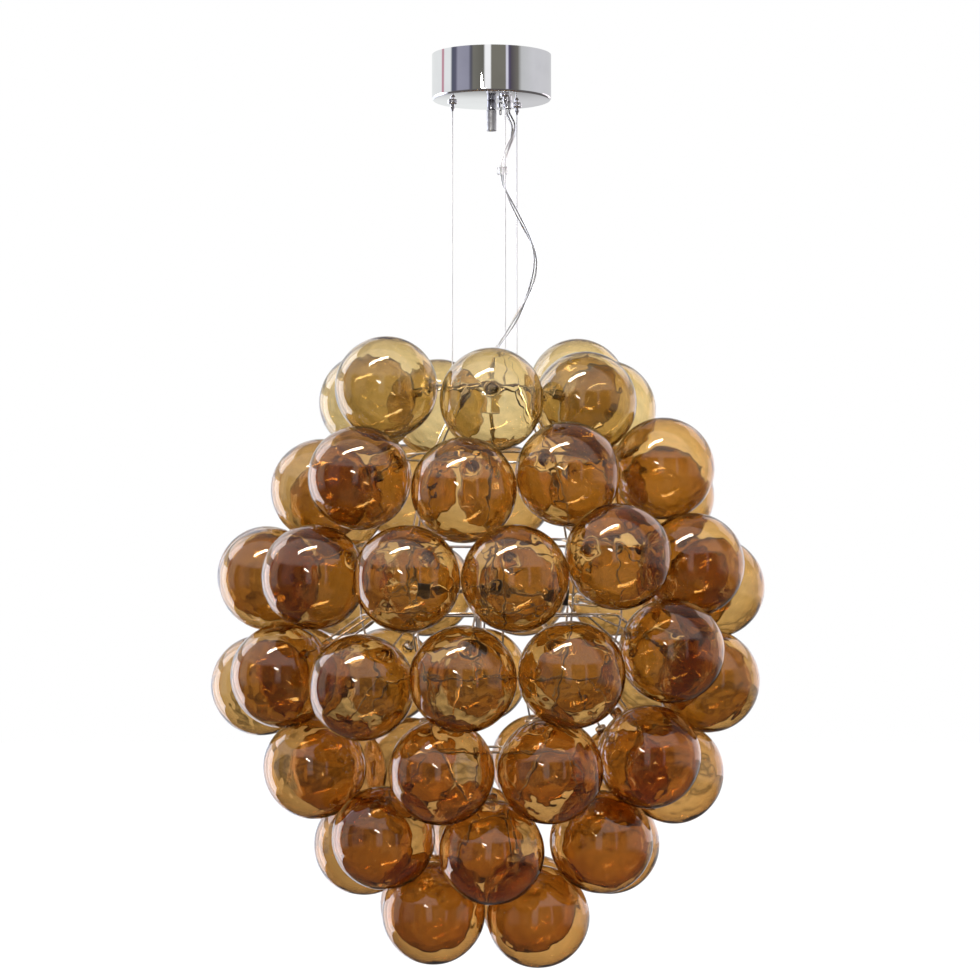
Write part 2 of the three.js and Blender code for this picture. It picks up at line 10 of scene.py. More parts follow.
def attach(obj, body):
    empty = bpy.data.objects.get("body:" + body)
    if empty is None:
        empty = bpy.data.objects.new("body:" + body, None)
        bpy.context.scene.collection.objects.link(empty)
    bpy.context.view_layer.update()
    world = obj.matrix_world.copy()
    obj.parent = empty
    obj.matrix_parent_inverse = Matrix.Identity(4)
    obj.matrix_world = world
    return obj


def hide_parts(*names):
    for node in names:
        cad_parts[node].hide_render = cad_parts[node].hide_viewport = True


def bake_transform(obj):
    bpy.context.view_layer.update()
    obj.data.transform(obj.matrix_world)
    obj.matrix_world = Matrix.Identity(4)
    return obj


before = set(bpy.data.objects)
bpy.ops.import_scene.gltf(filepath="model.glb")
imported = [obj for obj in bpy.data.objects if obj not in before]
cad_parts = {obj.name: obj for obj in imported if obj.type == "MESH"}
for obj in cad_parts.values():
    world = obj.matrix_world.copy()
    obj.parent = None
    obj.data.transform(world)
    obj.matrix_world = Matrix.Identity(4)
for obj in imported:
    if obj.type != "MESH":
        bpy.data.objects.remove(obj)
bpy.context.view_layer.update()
scene = bpy.context.scene

# Camera
# The photograph is taken from the height of the shade's middle, with a long lens, tipped up by
# less than three degrees. One of its pixels is one millimetre at the lamp's axis.
view_width = 0.98
camera_distance = 3.3
camera_height = -0.5935
camera_side = -0.0015
camera_pitch = 2.69
film_width = 36.0


def add_object(name, data):
    """A new object with that data, in the scene."""
    made = bpy.data.objects.new(name, data)
    scene.collection.objects.link(made)
    return made


camera_data = bpy.data.cameras.new("photo_camera")
camera_data.sensor_width = film_width
camera_data.lens = film_width * camera_distance / view_width
camera_data.clip_end = 60
camera = add_object("photo_camera", camera_data)
camera.location = (camera_side, -camera_distance, camera_height)
camera.rotation_euler = (radians(90 + camera_pitch), 0, 0)
scene.camera = camera

# Flex
# A clear two-core flex that leaves its gland, sags to a clip on the front wire, and swings out and
# back into the top of the cage. Two tinned cores lie twisted in a clear jacket.
flex_diameter = 0.005
flex_core_diameter = 0.0013
flex_core_reach = 0.00095
flex_core_twist = 0.12  # length of one turn of the cores
flex_core_setback = 0.0006  # how far inside the jacket's ends the cores end
flex_exit = (0.0165, 0.004, -0.0547)
flex_route = [
    flex_exit,
    (0.0167, 0.0038, -0.0585), (0.0192, 0.002, -0.064), (0.0216, -0.002, -0.07),
    (0.0222, -0.008, -0.0775), (0.0204, -0.015, -0.086), (0.0168, -0.022, -0.0955),
    (0.0132, -0.028, -0.106), (0.011, -0.0314, -0.1165), (0.0109, -0.032, -0.127),
    (0.013, -0.0315, -0.138), (0.018, -0.029, -0.15), (0.025, -0.025, -0.163),
    (0.0326, -0.021, -0.1765), (0.0394, -0.017, -0.1905), (0.0432, -0.0135, -0.205),
    (0.0432, -0.0105, -0.2195), (0.0396, -0.008, -0.2345), (0.0334, -0.0056, -0.2495),
    (0.026, -0.0036, -0.264), (0.0174, -0.0018, -0.2785), (0.0088, -0.0006, -0.2915),
    (0.0024, 0, -0.304), (0, 0, -0.316), (0, 0, -0.328),
]


def smooth_line(places, steps):
    """The places joined by a smooth curve, with that many steps between one place and the next."""
    points = [Vector(p) for p in places]
    ends = [2 * points[0] - points[1]] + points + [2 * points[-1] - points[-2]]
    line = []
    for i in range(1, len(ends) - 2):
        before, start, end, after = ends[i - 1 : i + 3]
        for step in range(steps):
            t = step / steps
            line.append(
                0.5
                * (
                    2 * start
                    + (end - before) * t
                    + (2 * before - 5 * start + 4 * end - after) * t**2
                    + (3 * start - before - 3 * end + after) * t**3
                )
            )
    return line + [points[-1]]


def side_frames(line):
    """Two directions square to the line at each of its points, which turn as little as they can."""
    before, after = line[:1] + line[:-1], line[1:] + line[-1:]
    ahead = [(b - a).normalized() for a, b in zip(before, after)]
    across = ahead[0].orthogonal().normalized()
    frames = []
    for direction in ahead:
        across = (across - direction * across.dot(direction)).normalized()
        frames.append((across, direction.cross(across)))
    return frames


def mesh_piece(name, corners, faces, material=None):
    """A smooth piece with its place in its mesh, and its normals pointing outwards."""
    mesh = bpy.data.meshes.new(name)
    mesh.from_pydata([tuple(c) for c in corners], [], faces)
    work = bmesh.new()
    work.from_mesh(mesh)
    bmesh.ops.remove_doubles(work, verts=work.verts, dist=1e-7)
    bmesh.ops.recalc_face_normals(work, faces=work.faces)
    work.to_mesh(mesh)
    work.free()
    if material:
        mesh.materials.append(material)
    mesh.polygons.foreach_set("use_smooth", [True] * len(mesh.polygons))
    return add_object(name, mesh)


def tube_mesh(line, radius, sides):
    """Corners and faces of a round tube along a line, with closed ends."""
    corners, faces = [], []
    for point, (across, up) in zip(line, side_frames(line)):
        for k in range(sides):
            angle = 2 * pi * k / sides
            corners.append(point + radius * (cos(angle) * across + sin(angle) * up))
    for i in range(len(line) - 1):
        for k in range(sides):
            n = (k + 1) % sides
            faces.append((i * sides + k, i * sides + n, (i + 1) * sides + n, (i + 1) * sides + k))
    last = len(corners) - sides
    faces.append(tuple(range(sides))[::-1])
    faces.append(tuple(range(last, last + sides)))
    return corners, faces


def joined(meshes):
    """Corners and faces of several meshes as those of one."""
    corners, faces = [], []
    for more_corners, more_faces in meshes:
        faces += [tuple(c + len(corners) for c in face) for face in more_faces]
        corners += more_corners
    return corners, faces


def feed(node, values):
    """Sets a node's inputs by name or number. A socket is linked, and a node by its first output."""
    for name, value in values.items():
        socket = node.inputs[name]
        if isinstance(value, bpy.types.Node):
            value = next(output for output in value.outputs if output.enabled)
        if isinstance(value, bpy.types.NodeSocket):
            node.id_data.links.new(value, socket)
        elif socket.type == "RGBA":
            socket.default_value = (*value, 1)
        else:
            socket.default_value = value


def new_material(name, values):
    """A new material, and its main shader with those inputs."""
    material = bpy.data.materials.new(name)
    material.use_nodes = True
    shader = material.node_tree.nodes["Principled BSDF"]
    feed(shader, values)
    return material, shader


def clear_material(name, colour, roughness, ior, clearness=1):
    """A clear material, and its main shader."""
    look = {"Base Color": colour, "Roughness": roughness, "IOR": ior}
    return new_material(name, look | {"Transmission Weight": clearness})


def plain_metal(name, colour, roughness):
    return new_material(name, {"Base Color": colour, "Metallic": 1, "Roughness": roughness})


clear_jacket, _ = clear_material("clear_jacket", (0.93, 0.93, 0.92), 0.06, 1.5)
tinned_core, _ = plain_metal("tinned_core", (0.85, 0.85, 0.84), 0.3)

flex_line = smooth_line(flex_route, 6)
flex = mesh_piece("flex_jacket", *tube_mesh(flex_line, flex_diameter / 2, 20), clear_jacket)

core_meshes = []
for side in (0, pi):
    travelled, core_line = 0.0, []
    for i, (point, (across, up)) in enumerate(zip(flex_line, side_frames(flex_line))):
        travelled += (point - flex_line[max(i - 1, 0)]).length
        angle = side + 2 * pi * travelled / flex_core_twist
        core_line.append(point + flex_core_reach * (cos(angle) * across + sin(angle) * up))
    core_line[-1] = core_line[-1] + Vector((0, 0, flex_core_setback))
    core_line[0] = core_line[0] - Vector((0, 0, flex_core_setback))
    core_meshes.append(tube_mesh(core_line, flex_core_diameter / 2, 10))
cores = mesh_piece("flex_cores", *joined(core_meshes), tinned_core)

for piece in (flex, cores):
    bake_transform(piece)
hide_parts("power_cord")

# Canopy
# A drawn steel cup with a mirror chrome finish, drawn up to the ceiling by its centre nut. Its flat
# underside has holes for the nut's stud, the three wire grippers and the flex gland.
canopy_radius = 0.06
canopy_height = 0.046
canopy_sheet = 0.0014
canopy_round = 0.0025
wire_reach = 0.04
wire_turns = (20, 140, 260)
stud_hole_radius = 0.0023
gripper_hole_radius = 0.0035
gland_x, gland_y = flex_exit[:2]
gland_hole_radius = 0.004
through_sheet = (-canopy_height - 0.004, -canopy_height + 0.006)


def at_turn(turn, reach, height):
    """The place at that turn about the axis, in degrees from the front towards the right."""
    angle = radians(turn)
    return Vector((reach * sin(angle), -reach * cos(angle), height))


def arc(centre, radius, first, last, steps, deep=None):
    """Places on a flat arc from one angle to the other. Deep is its half depth, if not the radius."""
    angles = [first + (last - first) * k / steps for k in range(steps + 1)]
    deep = deep or radius
    return [(centre[0] + radius * cos(a), centre[1] + deep * sin(a)) for a in angles]


def lathe_mesh(profile, sides, centre=(0, 0, 0), direction=(0, 0, 1)):
    """Corners and faces of a closed solid turned about a line from a profile of (radius, height)."""
    turn = Vector((0, 0, 1)).rotation_difference(Vector(direction)).to_matrix()
    corners, faces, rows = [], [], []
    for radius, height in profile:
        if radius == 0:
            rows.append([len(corners)] * sides)
            corners.append(Vector((0, 0, height)))
            continue
        rows.append(list(range(len(corners), len(corners) + sides)))
        for k in range(sides):
            angle = 2 * pi * k / sides
            corners.append(Vector((radius * cos(angle), radius * sin(angle), height)))
    closed = profile[0][0] > 0 and profile[-1][0] > 0
    for row, following in zip(rows, rows[1:] + rows[:1] if closed else rows[1:]):
        for k in range(sides):
            n = (k + 1) % sides
            face = dict.fromkeys((row[k], row[n], following[n], following[k]))
            if len(face) > 2:
                faces.append(tuple(face))
    return [turn @ c + Vector(centre) for c in corners], faces


def rounded(radius, *profile):
    """The profile with each corner that is off the axis rounded to that radius."""
    steps = 3
    points = [Vector(p) for p in profile]
    out = []
    for i, corner in enumerate(points):
        before, after = points[i - 1], points[(i + 1) % len(points)]
        to_before, to_after = before - corner, after - corner
        reach = min(radius, to_before.length * 0.45, to_after.length * 0.45)
        if corner.x <= 1e-9 or reach < 1e-6:
            out.append(corner)
            continue
        first = corner + to_before.normalized() * reach
        last = corner + to_after.normalized() * reach
        for step in range(steps + 1):
            t = step / steps
            out.append((1 - t) ** 2 * first + 2 * t * (1 - t) * corner + t**2 * last)
    return [tuple(p) for p in out]


def crease(piece, angle=35):
    """Smooth shading, except across edges sharper than that angle."""
    piece.data.set_sharp_from_angle(angle=radians(angle))


def settle(piece, modifier):
    """Keeps what the modifier makes of the piece as its plain mesh, and removes the modifier."""
    view = bpy.context.evaluated_depsgraph_get()
    done = bpy.data.meshes.new_from_object(piece.evaluated_get(view))
    piece.modifiers.remove(modifier)
    piece.data = done


def drill(piece, x, y, radius, low, high):
    """Cuts an upright round hole through the piece."""
    profile = [(0, low), (radius, low), (radius, high), (0, high)]
    tool = mesh_piece("drill", *lathe_mesh(profile, 48, (x, y, 0)))
    cut = piece.modifiers.new("hole", "BOOLEAN")
    cut.operation = "DIFFERENCE"
    cut.solver = "EXACT"
    cut.object = tool
    settle(piece, cut)
    bpy.data.objects.remove(tool)


def add_node(tree, kind, values=None, **settings):
    """A new node with those settings and inputs."""
    node = tree.nodes.new(kind)
    for name, value in settings.items():
        setattr(node, name, value)
    feed(node, values or {})
    return node


def add_math(tree, operation, *values):
    """A node that does one sum with the values."""
    return add_node(tree, "ShaderNodeMath", dict(enumerate(values)), operation=operation)


def add_noise(tree, scale, detail=2):
    """Cloudy noise that stays with the piece."""
    place = add_node(tree, "ShaderNodeTexCoord").outputs["Object"]
    return add_node(tree, "ShaderNodeTexNoise", {"Vector": place, "Scale": scale, "Detail": detail})


def map_range(tree, value, low, high, to_low=0, to_high=1, **settings):
    """The value's way from low to high, as a way from to_low to to_high."""
    span = {"Value": value, "From Min": low, "From Max": high, "To Min": to_low, "To Max": to_high}
    return add_node(tree, "ShaderNodeMapRange", span, **settings)


def mix_colours(tree, factor, first, second):
    """The first colour where the factor is 0, the second where it is 1."""
    mixed = {"Factor": factor, "A": first, "B": second}
    return add_node(tree, "ShaderNodeMix", mixed, data_type="RGBA")


def new_group(name, kind, inputs, outputs):
    """A node group with sockets of those kinds: the group, what it is given, and its end node."""
    group = bpy.data.node_groups.new(name, kind)
    for way, sockets in (("INPUT", inputs), ("OUTPUT", outputs)):
        for title, socket in sockets.items():
            group.interface.new_socket(name=title, in_out=way, socket_type=f"NodeSocket{socket}")
    return group, group.nodes.new("NodeGroupInput").outputs, group.nodes.new("NodeGroupOutput")


# Faint rubbing and finger marks on bright metal
fine_wear, given, result = new_group(
    "fine_wear",
    "ShaderNodeTree",
    {"Base Roughness": "Float", "Wear": "Float", "Scale": "Float"},
    {"Roughness": "Float", "Height": "Float", "Shade": "Float"},
)
smudge = add_noise(fine_wear, given["Scale"], 4)
spread = map_range(fine_wear, smudge, 0.45, 0.75)
rubbed = add_math(fine_wear, "MULTIPLY_ADD", spread, given["Wear"], given["Base Roughness"])
feed(result, {"Roughness": rubbed, "Height": add_noise(fine_wear, 900), "Shade": spread})


def bright_metal(name, colour, marked, roughness, wear, scale, bump):
    """Bright metal whose colour, roughness and surface change a little with wear."""
    material, shader = new_material(name, {"Metallic": 1})
    tree = material.node_tree
    wearing = {"Base Roughness": roughness, "Wear": wear, "Scale": scale}
    marks = add_node(tree, "ShaderNodeGroup", wearing, node_tree=fine_wear).outputs
    feed(shader, {"Base Color": mix_colours(tree, marks["Shade"], colour, marked)})
    scratches = {"Strength": bump, "Distance": 0.0001, "Height": marks["Height"]}
    relief = add_node(tree, "ShaderNodeBump", scratches)
    feed(shader, {"Roughness": marks["Roughness"], "Normal": relief})
    return material


polished_chrome = bright_metal(
    "polished_chrome", (0.86, 0.86, 0.88), (0.8, 0.8, 0.82), 0.015, 0.03, 40, 0.02
)

round_centre = (canopy_radius - canopy_round, -canopy_height + canopy_round)
canopy_profile = [
    (canopy_radius, 0),
    *arc(round_centre, canopy_round, 0, -pi / 2, 8),
    (stud_hole_radius, -canopy_height), (stud_hole_radius, -canopy_height + canopy_sheet),
    (canopy_radius - canopy_sheet, -canopy_height + canopy_sheet),
    (canopy_radius - canopy_sheet, 0),
]
canopy = mesh_piece("chrome_canopy", *lathe_mesh(canopy_profile, 128), polished_chrome)
for turn in wire_turns:
    place = at_turn(turn, wire_reach, 0)
    drill(canopy, place.x, place.y, gripper_hole_radius, *through_sheet)
drill(canopy, gland_x, gland_y, gland_hole_radius, *through_sheet)
crease(canopy, 30)
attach(canopy, "canopy")
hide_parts("canopy_cup")

# Ceiling fixing
# Zinc-plated bracket, its stud and a white plastic terminal block, all inside the canopy.


def speckled(name, dark, light, scale, roughness):
    """A dull surface in fine specks of two close colours."""
    material, shader = new_material(name, {"Roughness": roughness})
    tree = material.node_tree
    feed(shader, {"Base Color": mix_colours(tree, add_noise(tree, scale), dark, light)})
    return material


zinc_plate = bright_metal("zinc_plate", (0.55, 0.56, 0.57), (0.4, 0.4, 0.4), 0.3, 0.2, 90, 0.2)
terminal_plastic = speckled("terminal_plastic", (0.82, 0.8, 0.74), (0.88, 0.86, 0.81), 200, 0.45)


def refinish(node, material):
    """Gives a CAD node that is shown as it is a better material."""
    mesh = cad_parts[node].data
    mesh.materials.clear()
    mesh.materials.append(material)


refinish("ceiling_bracket", zinc_plate)
refinish("mounting_stud", zinc_plate)
refinish("terminal_block", terminal_plastic)

# Canopy nut
# A dark chrome collar that screws up the stud and clamps the canopy, and a matte grey sleeve under
# it for the fingers.
clearance = 0.0003  # between pieces that move or stand on each other
nut_collar_radius = 0.0044
nut_collar_height = 0.0095
nut_sleeve_radius = 0.005
nut_sleeve_height = 0.021
nut_bore_end = -0.07
nut_bore_radius = 0.0032
dark_chrome = bright_metal("dark_chrome", (0.36, 0.36, 0.4), (0.28, 0.28, 0.3), 0.08, 0.08, 200, 0.05)
grey_sleeve = bright_metal("grey_sleeve", (0.72, 0.72, 0.73), (0.6, 0.6, 0.61), 0.5, 0.15, 500, 0.3)
nut_top = -canopy_height - clearance
collar_under = nut_top - nut_collar_height
sleeve_under = collar_under - nut_sleeve_height
collar_profile = rounded(
    0.0004,
    (nut_bore_radius, nut_top), (nut_collar_radius, nut_top),
    (nut_collar_radius, collar_under + 0.001), (nut_collar_radius - 0.0008, collar_under),
    (nut_bore_radius, collar_under),
)
sleeve_profile = rounded(
    0.0006,
    (0, nut_bore_end), (nut_bore_radius, nut_bore_end), (nut_bore_radius, collar_under),
    (nut_sleeve_radius, collar_under), (nut_sleeve_radius, sleeve_under), (0, sleeve_under),
)


def turned_piece(name, profile, sides, material, centre=(0, 0, 0), direction=(0, 0, 1)):
    """A piece turned about a line from a profile, with its edges sharp."""
    piece = mesh_piece(name, *lathe_mesh(profile, sides, centre, direction), material)
    crease(piece)
    return piece


collar = turned_piece("nut_collar", collar_profile, 48, dark_chrome)
sleeve = turned_piece("nut_sleeve", sleeve_profile, 48, grey_sleeve)
for piece in (collar, sleeve):
    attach(piece, "nut")
    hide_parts("canopy_nut")

# Wire grippers
# Each is a chrome body through the canopy's sheet with a flange under it, and a sprung nose that
# lets the wire run when it is pressed up.
wire_radius = 0.0006
gripper_bore_radius = 0.0009
gripper_barrel_radius = 0.0032
gripper_flange_radius = 0.005
gripper_flange_height = 0.0012
gripper_skirt_radius = 0.0034
gripper_socket_radius = 0.0023
nose_stem_radius = 0.002
nose_rim_radius = 0.0027
nose_travel = 0.002
gripper_top = -canopy_height + 0.009
gripper_socket_top = -canopy_height + 0.0039
nose_top = -canopy_height + 0.0016
flange_top = -canopy_height - clearance
skirt_end = flange_top - 0.0025
nose_shoulder = skirt_end - nose_travel - clearance
nose_end = nose_shoulder - 0.0044
gripper_body_profile = rounded(
    0.0003,
    (gripper_bore_radius, gripper_top), (gripper_barrel_radius, gripper_top),
    (gripper_barrel_radius, flange_top), (gripper_flange_radius, flange_top),
    (gripper_flange_radius, flange_top - gripper_flange_height),
    (gripper_skirt_radius, skirt_end), (gripper_socket_radius, skirt_end),
    (gripper_socket_radius, gripper_socket_top), (gripper_bore_radius, gripper_socket_top),
)
gripper_nose_profile = rounded(
    0.0002,
    (gripper_bore_radius, nose_top), (nose_stem_radius, nose_top),
    (nose_stem_radius, nose_shoulder), (nose_rim_radius, nose_shoulder),
    (nose_rim_radius, nose_shoulder - 0.0008), (0.0018, nose_shoulder - 0.0026),
    (0.0014, nose_end), (gripper_bore_radius, nose_end),
)
for number, turn in enumerate(wire_turns, 1):
    centre = at_turn(turn, wire_reach, 0)
    body = turned_piece(f"gripper_barrel_{number}", gripper_body_profile, 40, polished_chrome, centre)
    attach(body, "canopy")
    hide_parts(f"gripper_body_{number}")
    nose = turned_piece(f"gripper_plunger_{number}", gripper_nose_profile, 40, polished_chrome, centre)
    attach(nose, f"nose_{number}")
    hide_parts(f"gripper_nose_{number}")

# Suspension wires
# Three stranded steel wires from the grippers down to the cage's top ring, each ending in a pressed
# ferrule that stands on the ring.
pitch = 0.1013
crown_drop = 0.3485
ring_wire_radius = 0.0013
top_ring_height = -crown_drop + 0.138 * pitch
ferrule_radius = 0.0016
ferrule_length = 0.007


def run_tree(piece, tree, **values):
    """Runs a node tree on a piece with those named inputs, and keeps the result as a plain mesh."""
    step = piece.modifiers.new(tree.name, "NODES")
    step.node_group = tree
    sockets = {s.name: s.identifier for s in tree.interface.items_tree if s.in_out == "INPUT"}
    for name, value in values.items():
        step[sockets[name.replace("_", " ")]] = value
    piece.update_tag()
    bpy.context.view_layer.update()
    settle(piece, step)
    return piece


def named_attribute(tree, name, kind):
    return add_node(tree, "GeometryNodeInputNamedAttribute", {"Name": name}, data_type=kind)


# Round wire along lines: each point's own thickness, closed ends, one finish
round_wire, given, result = new_group(
    "round_wire",
    "GeometryNodeTree",
    {"Lines": "Geometry", "Sides": "Int", "Finish": "Material"},
    {"Wire": "Geometry"},
)
curve = add_node(round_wire, "GeometryNodeMeshToCurve", {"Mesh": given["Lines"]})
circle = {"Radius": 1, "Resolution": given["Sides"]}
section = add_node(round_wire, "GeometryNodeCurvePrimitiveCircle", circle)
thickness = named_attribute(round_wire, "thickness", "FLOAT")
along = {"Curve": curve, "Profile Curve": section, "Scale": thickness, "Fill Caps": True}
sweep = add_node(round_wire, "GeometryNodeCurveToMesh", along)
smooth = add_node(round_wire, "GeometryNodeSetShadeSmooth", {"Geometry": sweep})
real = add_node(round_wire, "GeometryNodeRealizeInstances", {"Geometry": smooth})
paint = {"Geometry": real, "Material": given["Finish"]}
feed(result, {"Wire": add_node(round_wire, "GeometryNodeSetMaterial", paint)})


def add_attribute(mesh, name, kind, values):
    """Numbers at the mesh's corners, three for each where they are vectors."""
    field = "value" if kind == "FLOAT" else "vector"
    mesh.attributes.new(name, kind, "POINT").data.foreach_set(field, values)


def wire_piece(name, lines, finish, sides=12):
    """One piece of round wire from lines of (points, radius or radii, closed)."""
    corners, edges, radii = [], [], []
    for points, radius, closed in lines:
        first = len(corners)
        corners += [tuple(p) for p in points]
        edges += [(first + i, first + i + 1) for i in range(len(points) - 1)]
        if closed:
            edges.append((len(corners) - 1, first))
        radii += list(radius) if isinstance(radius, (list, tuple)) else [radius] * len(points)
    mesh = bpy.data.meshes.new(name)
    mesh.from_pydata(corners, edges, [])
    add_attribute(mesh, "thickness", "FLOAT", radii)
    piece = run_tree(add_object(name, mesh), round_wire, Sides=sides, Finish=finish)
    crease(piece, 50)
    return piece


def straight(start, end, steps):
    return [Vector(start).lerp(Vector(end), i / steps) for i in range(steps + 1)]


strand_steel, shader = new_material("strand_steel", {"Base Color": (0.9, 0.9, 0.9), "Metallic": 1})
tree = strand_steel.node_tree
place = add_node(tree, "ShaderNodeTexCoord").outputs["Object"]
lay = add_node(
    tree,
    "ShaderNodeTexWave",
    {"Vector": place, "Scale": 320, "Distortion": 0.5},
    bands_direction="DIAGONAL",
).outputs["Fac"]
relief = add_node(tree, "ShaderNodeBump", {"Strength": 0.6, "Distance": 0.0003, "Height": lay})
gloss = map_range(tree, lay, 0, 1, 0.22, 0.42)
feed(shader, {"Normal": relief, "Roughness": gloss})

wire_top = gripper_top - clearance
ferrule_under = top_ring_height + ring_wire_radius + clearance
for number, turn in enumerate(wire_turns, 1):
    foot = at_turn(turn, wire_reach, ferrule_under)
    top = at_turn(turn, wire_reach, wire_top)
    press = ferrule_length / 5
    ferrule_line = [foot + Vector((0, 0, press * i)) for i in range(6)]
    ferrule_radii = [ferrule_radius * share for share in (0.9, 1, 0.86, 0.86, 1, 0.8)]
    wire = wire_piece(
        f"steel_wire_{number}",
        [
            (straight(foot + Vector((0, 0, ferrule_length * 0.5)), top, 28), wire_radius, False),
            (ferrule_line, ferrule_radii, False),
        ],
        strand_steel,
    )
    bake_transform(wire)
    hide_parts(f"suspension_wire_{number}")

# Flex gland
# A short chrome barrel that the flex leaves by, with a lug at its side whose screw clamps the flex.
gland_top = -canopy_height + 0.006
gland_under = flange_top - 0.008
gland_radius = 0.0042
gland_stem_radius = 0.0037
lug_top = flange_top - 0.003
lug_height = 0.003
lug_width = 0.006
lug_end_reach = 0.0028
lug_root_x = gland_x - 0.003
lug_drill = (lug_top - 0.004, lug_top + 0.001)
screw_x = gland_x - 0.0075
screw_radius = 0.0013
screw_head_radius = 0.0022
screw_length = 0.011
gland_profile = rounded(
    0.0003,
    (0, gland_top), (gland_stem_radius, gland_top), (gland_stem_radius, flange_top),
    (gland_radius, flange_top), (gland_radius, gland_under + 0.001),
    (gland_radius - 0.0006, gland_under), (0, gland_under),
)
gland = turned_piece("gland_barrel", gland_profile, 40, polished_chrome, (gland_x, gland_y, 0))


def prism_mesh(outline, low, high):
    """Corners and faces of an upright solid over a flat outline."""
    around = len(outline)
    corners = [(x, y, height) for height in (low, high) for x, y in outline]
    faces = [tuple(range(around))[::-1], tuple(range(around, 2 * around))]
    for k in range(around):
        n = (k + 1) % around
        faces.append((k, n, n + around, k + around))
    return corners, faces


lug_outline = arc((screw_x, gland_y), lug_end_reach, pi / 2, 3 * pi / 2, 8, lug_width / 2)
lug_outline += [(lug_root_x, gland_y - lug_width / 2), (lug_root_x, gland_y + lug_width / 2)]
lug = mesh_piece("gland_lug", *prism_mesh(lug_outline, lug_top - lug_height, lug_top), polished_chrome)
drill(lug, screw_x, gland_y, screw_radius + clearance, *lug_drill)
crease(lug)
for piece in (gland, lug):
    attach(piece, "canopy")
    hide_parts("cord_gland")

screw_head_under = lug_top + clearance
screw_end = screw_head_under - screw_length
screw_profile = rounded(
    0.0002,
    (0, screw_head_under + 0.002), (0.0014, screw_head_under + 0.0019),
    (screw_head_radius, screw_head_under + 0.0012), (screw_head_radius, screw_head_under),
    (screw_radius, screw_head_under), (screw_radius, screw_end + 0.0005),
    (screw_radius - 0.0004, screw_end), (0, screw_end),
)
screw_steel = bright_metal("screw_steel", (0.45, 0.45, 0.46), (0.3, 0.3, 0.3), 0.2, 0.2, 300, 0.2)
screw = turned_piece("clamp_screw", screw_profile, 32, screw_steel, (screw_x, gland_y, 0))
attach(screw, "canopy")
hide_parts("gland_screw")

# Flex clip
# A small clear plastic clip that holds the flex to the front wire a hand's breadth under the canopy.
clip_height = -0.122
clip_half = 0.0035
clip_drill = (clip_height - 0.005, clip_height + 0.005)
clip_wall = 0.0016
clip_flex_bore = 0.0034
clip_wire_bore = wire_radius + clearance
clip_flex = min(flex_line, key=lambda point: abs(point.z - clip_height))
clip_wire = at_turn(wire_turns[0], wire_reach, 0)
clip_plastic, _ = clear_material("clip_plastic", (0.97, 0.97, 0.96), 0.08, 1.46, 0.95)
towards = atan2(clip_wire.y - clip_flex.y, clip_wire.x - clip_flex.x)
apart = hypot(clip_wire.y - clip_flex.y, clip_wire.x - clip_flex.x)
wide, narrow = clip_flex_bore + clip_wall, clip_wire_bore + clip_wall
lean = acos((wide - narrow) / apart)
outline = arc(clip_flex, wide, towards + lean, towards - lean + 2 * pi, 24)
outline += arc(clip_wire, narrow, towards - lean, towards + lean, 12)
clip = mesh_piece(
    "flex_clip",
    *prism_mesh(outline, clip_height - clip_half, clip_height + clip_half),
    clip_plastic,
)
for spot, bore in ((clip_flex, clip_flex_bore), (clip_wire, clip_wire_bore)):
    drill(clip, spot.x, spot.y, bore, *clip_drill)
soften = clip.modifiers.new("soft_edges", "BEVEL")
soften.width = 0.0004
soften.segments = 2
soften.limit_method = "ANGLE"
soften.angle_limit = radians(40)
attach(clip, "canopy")
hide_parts("cord_clip")

# Globes
# Hand-blown hollow glass globes with a short neck that faces the cage, each a little uneven. Their
# amber comes in three depths that are painted light and shade: pale in the crown is painted light,
# full in the middle rows, and deep in the lowest rows is painted shade.
globe_radius = 0.0505
glass_wall = 0.0014
neck_radius = 0.0055
neck_bore = 0.004
neck_length = 0.007
neck_fillet = 0.0035
ring_spans = 24
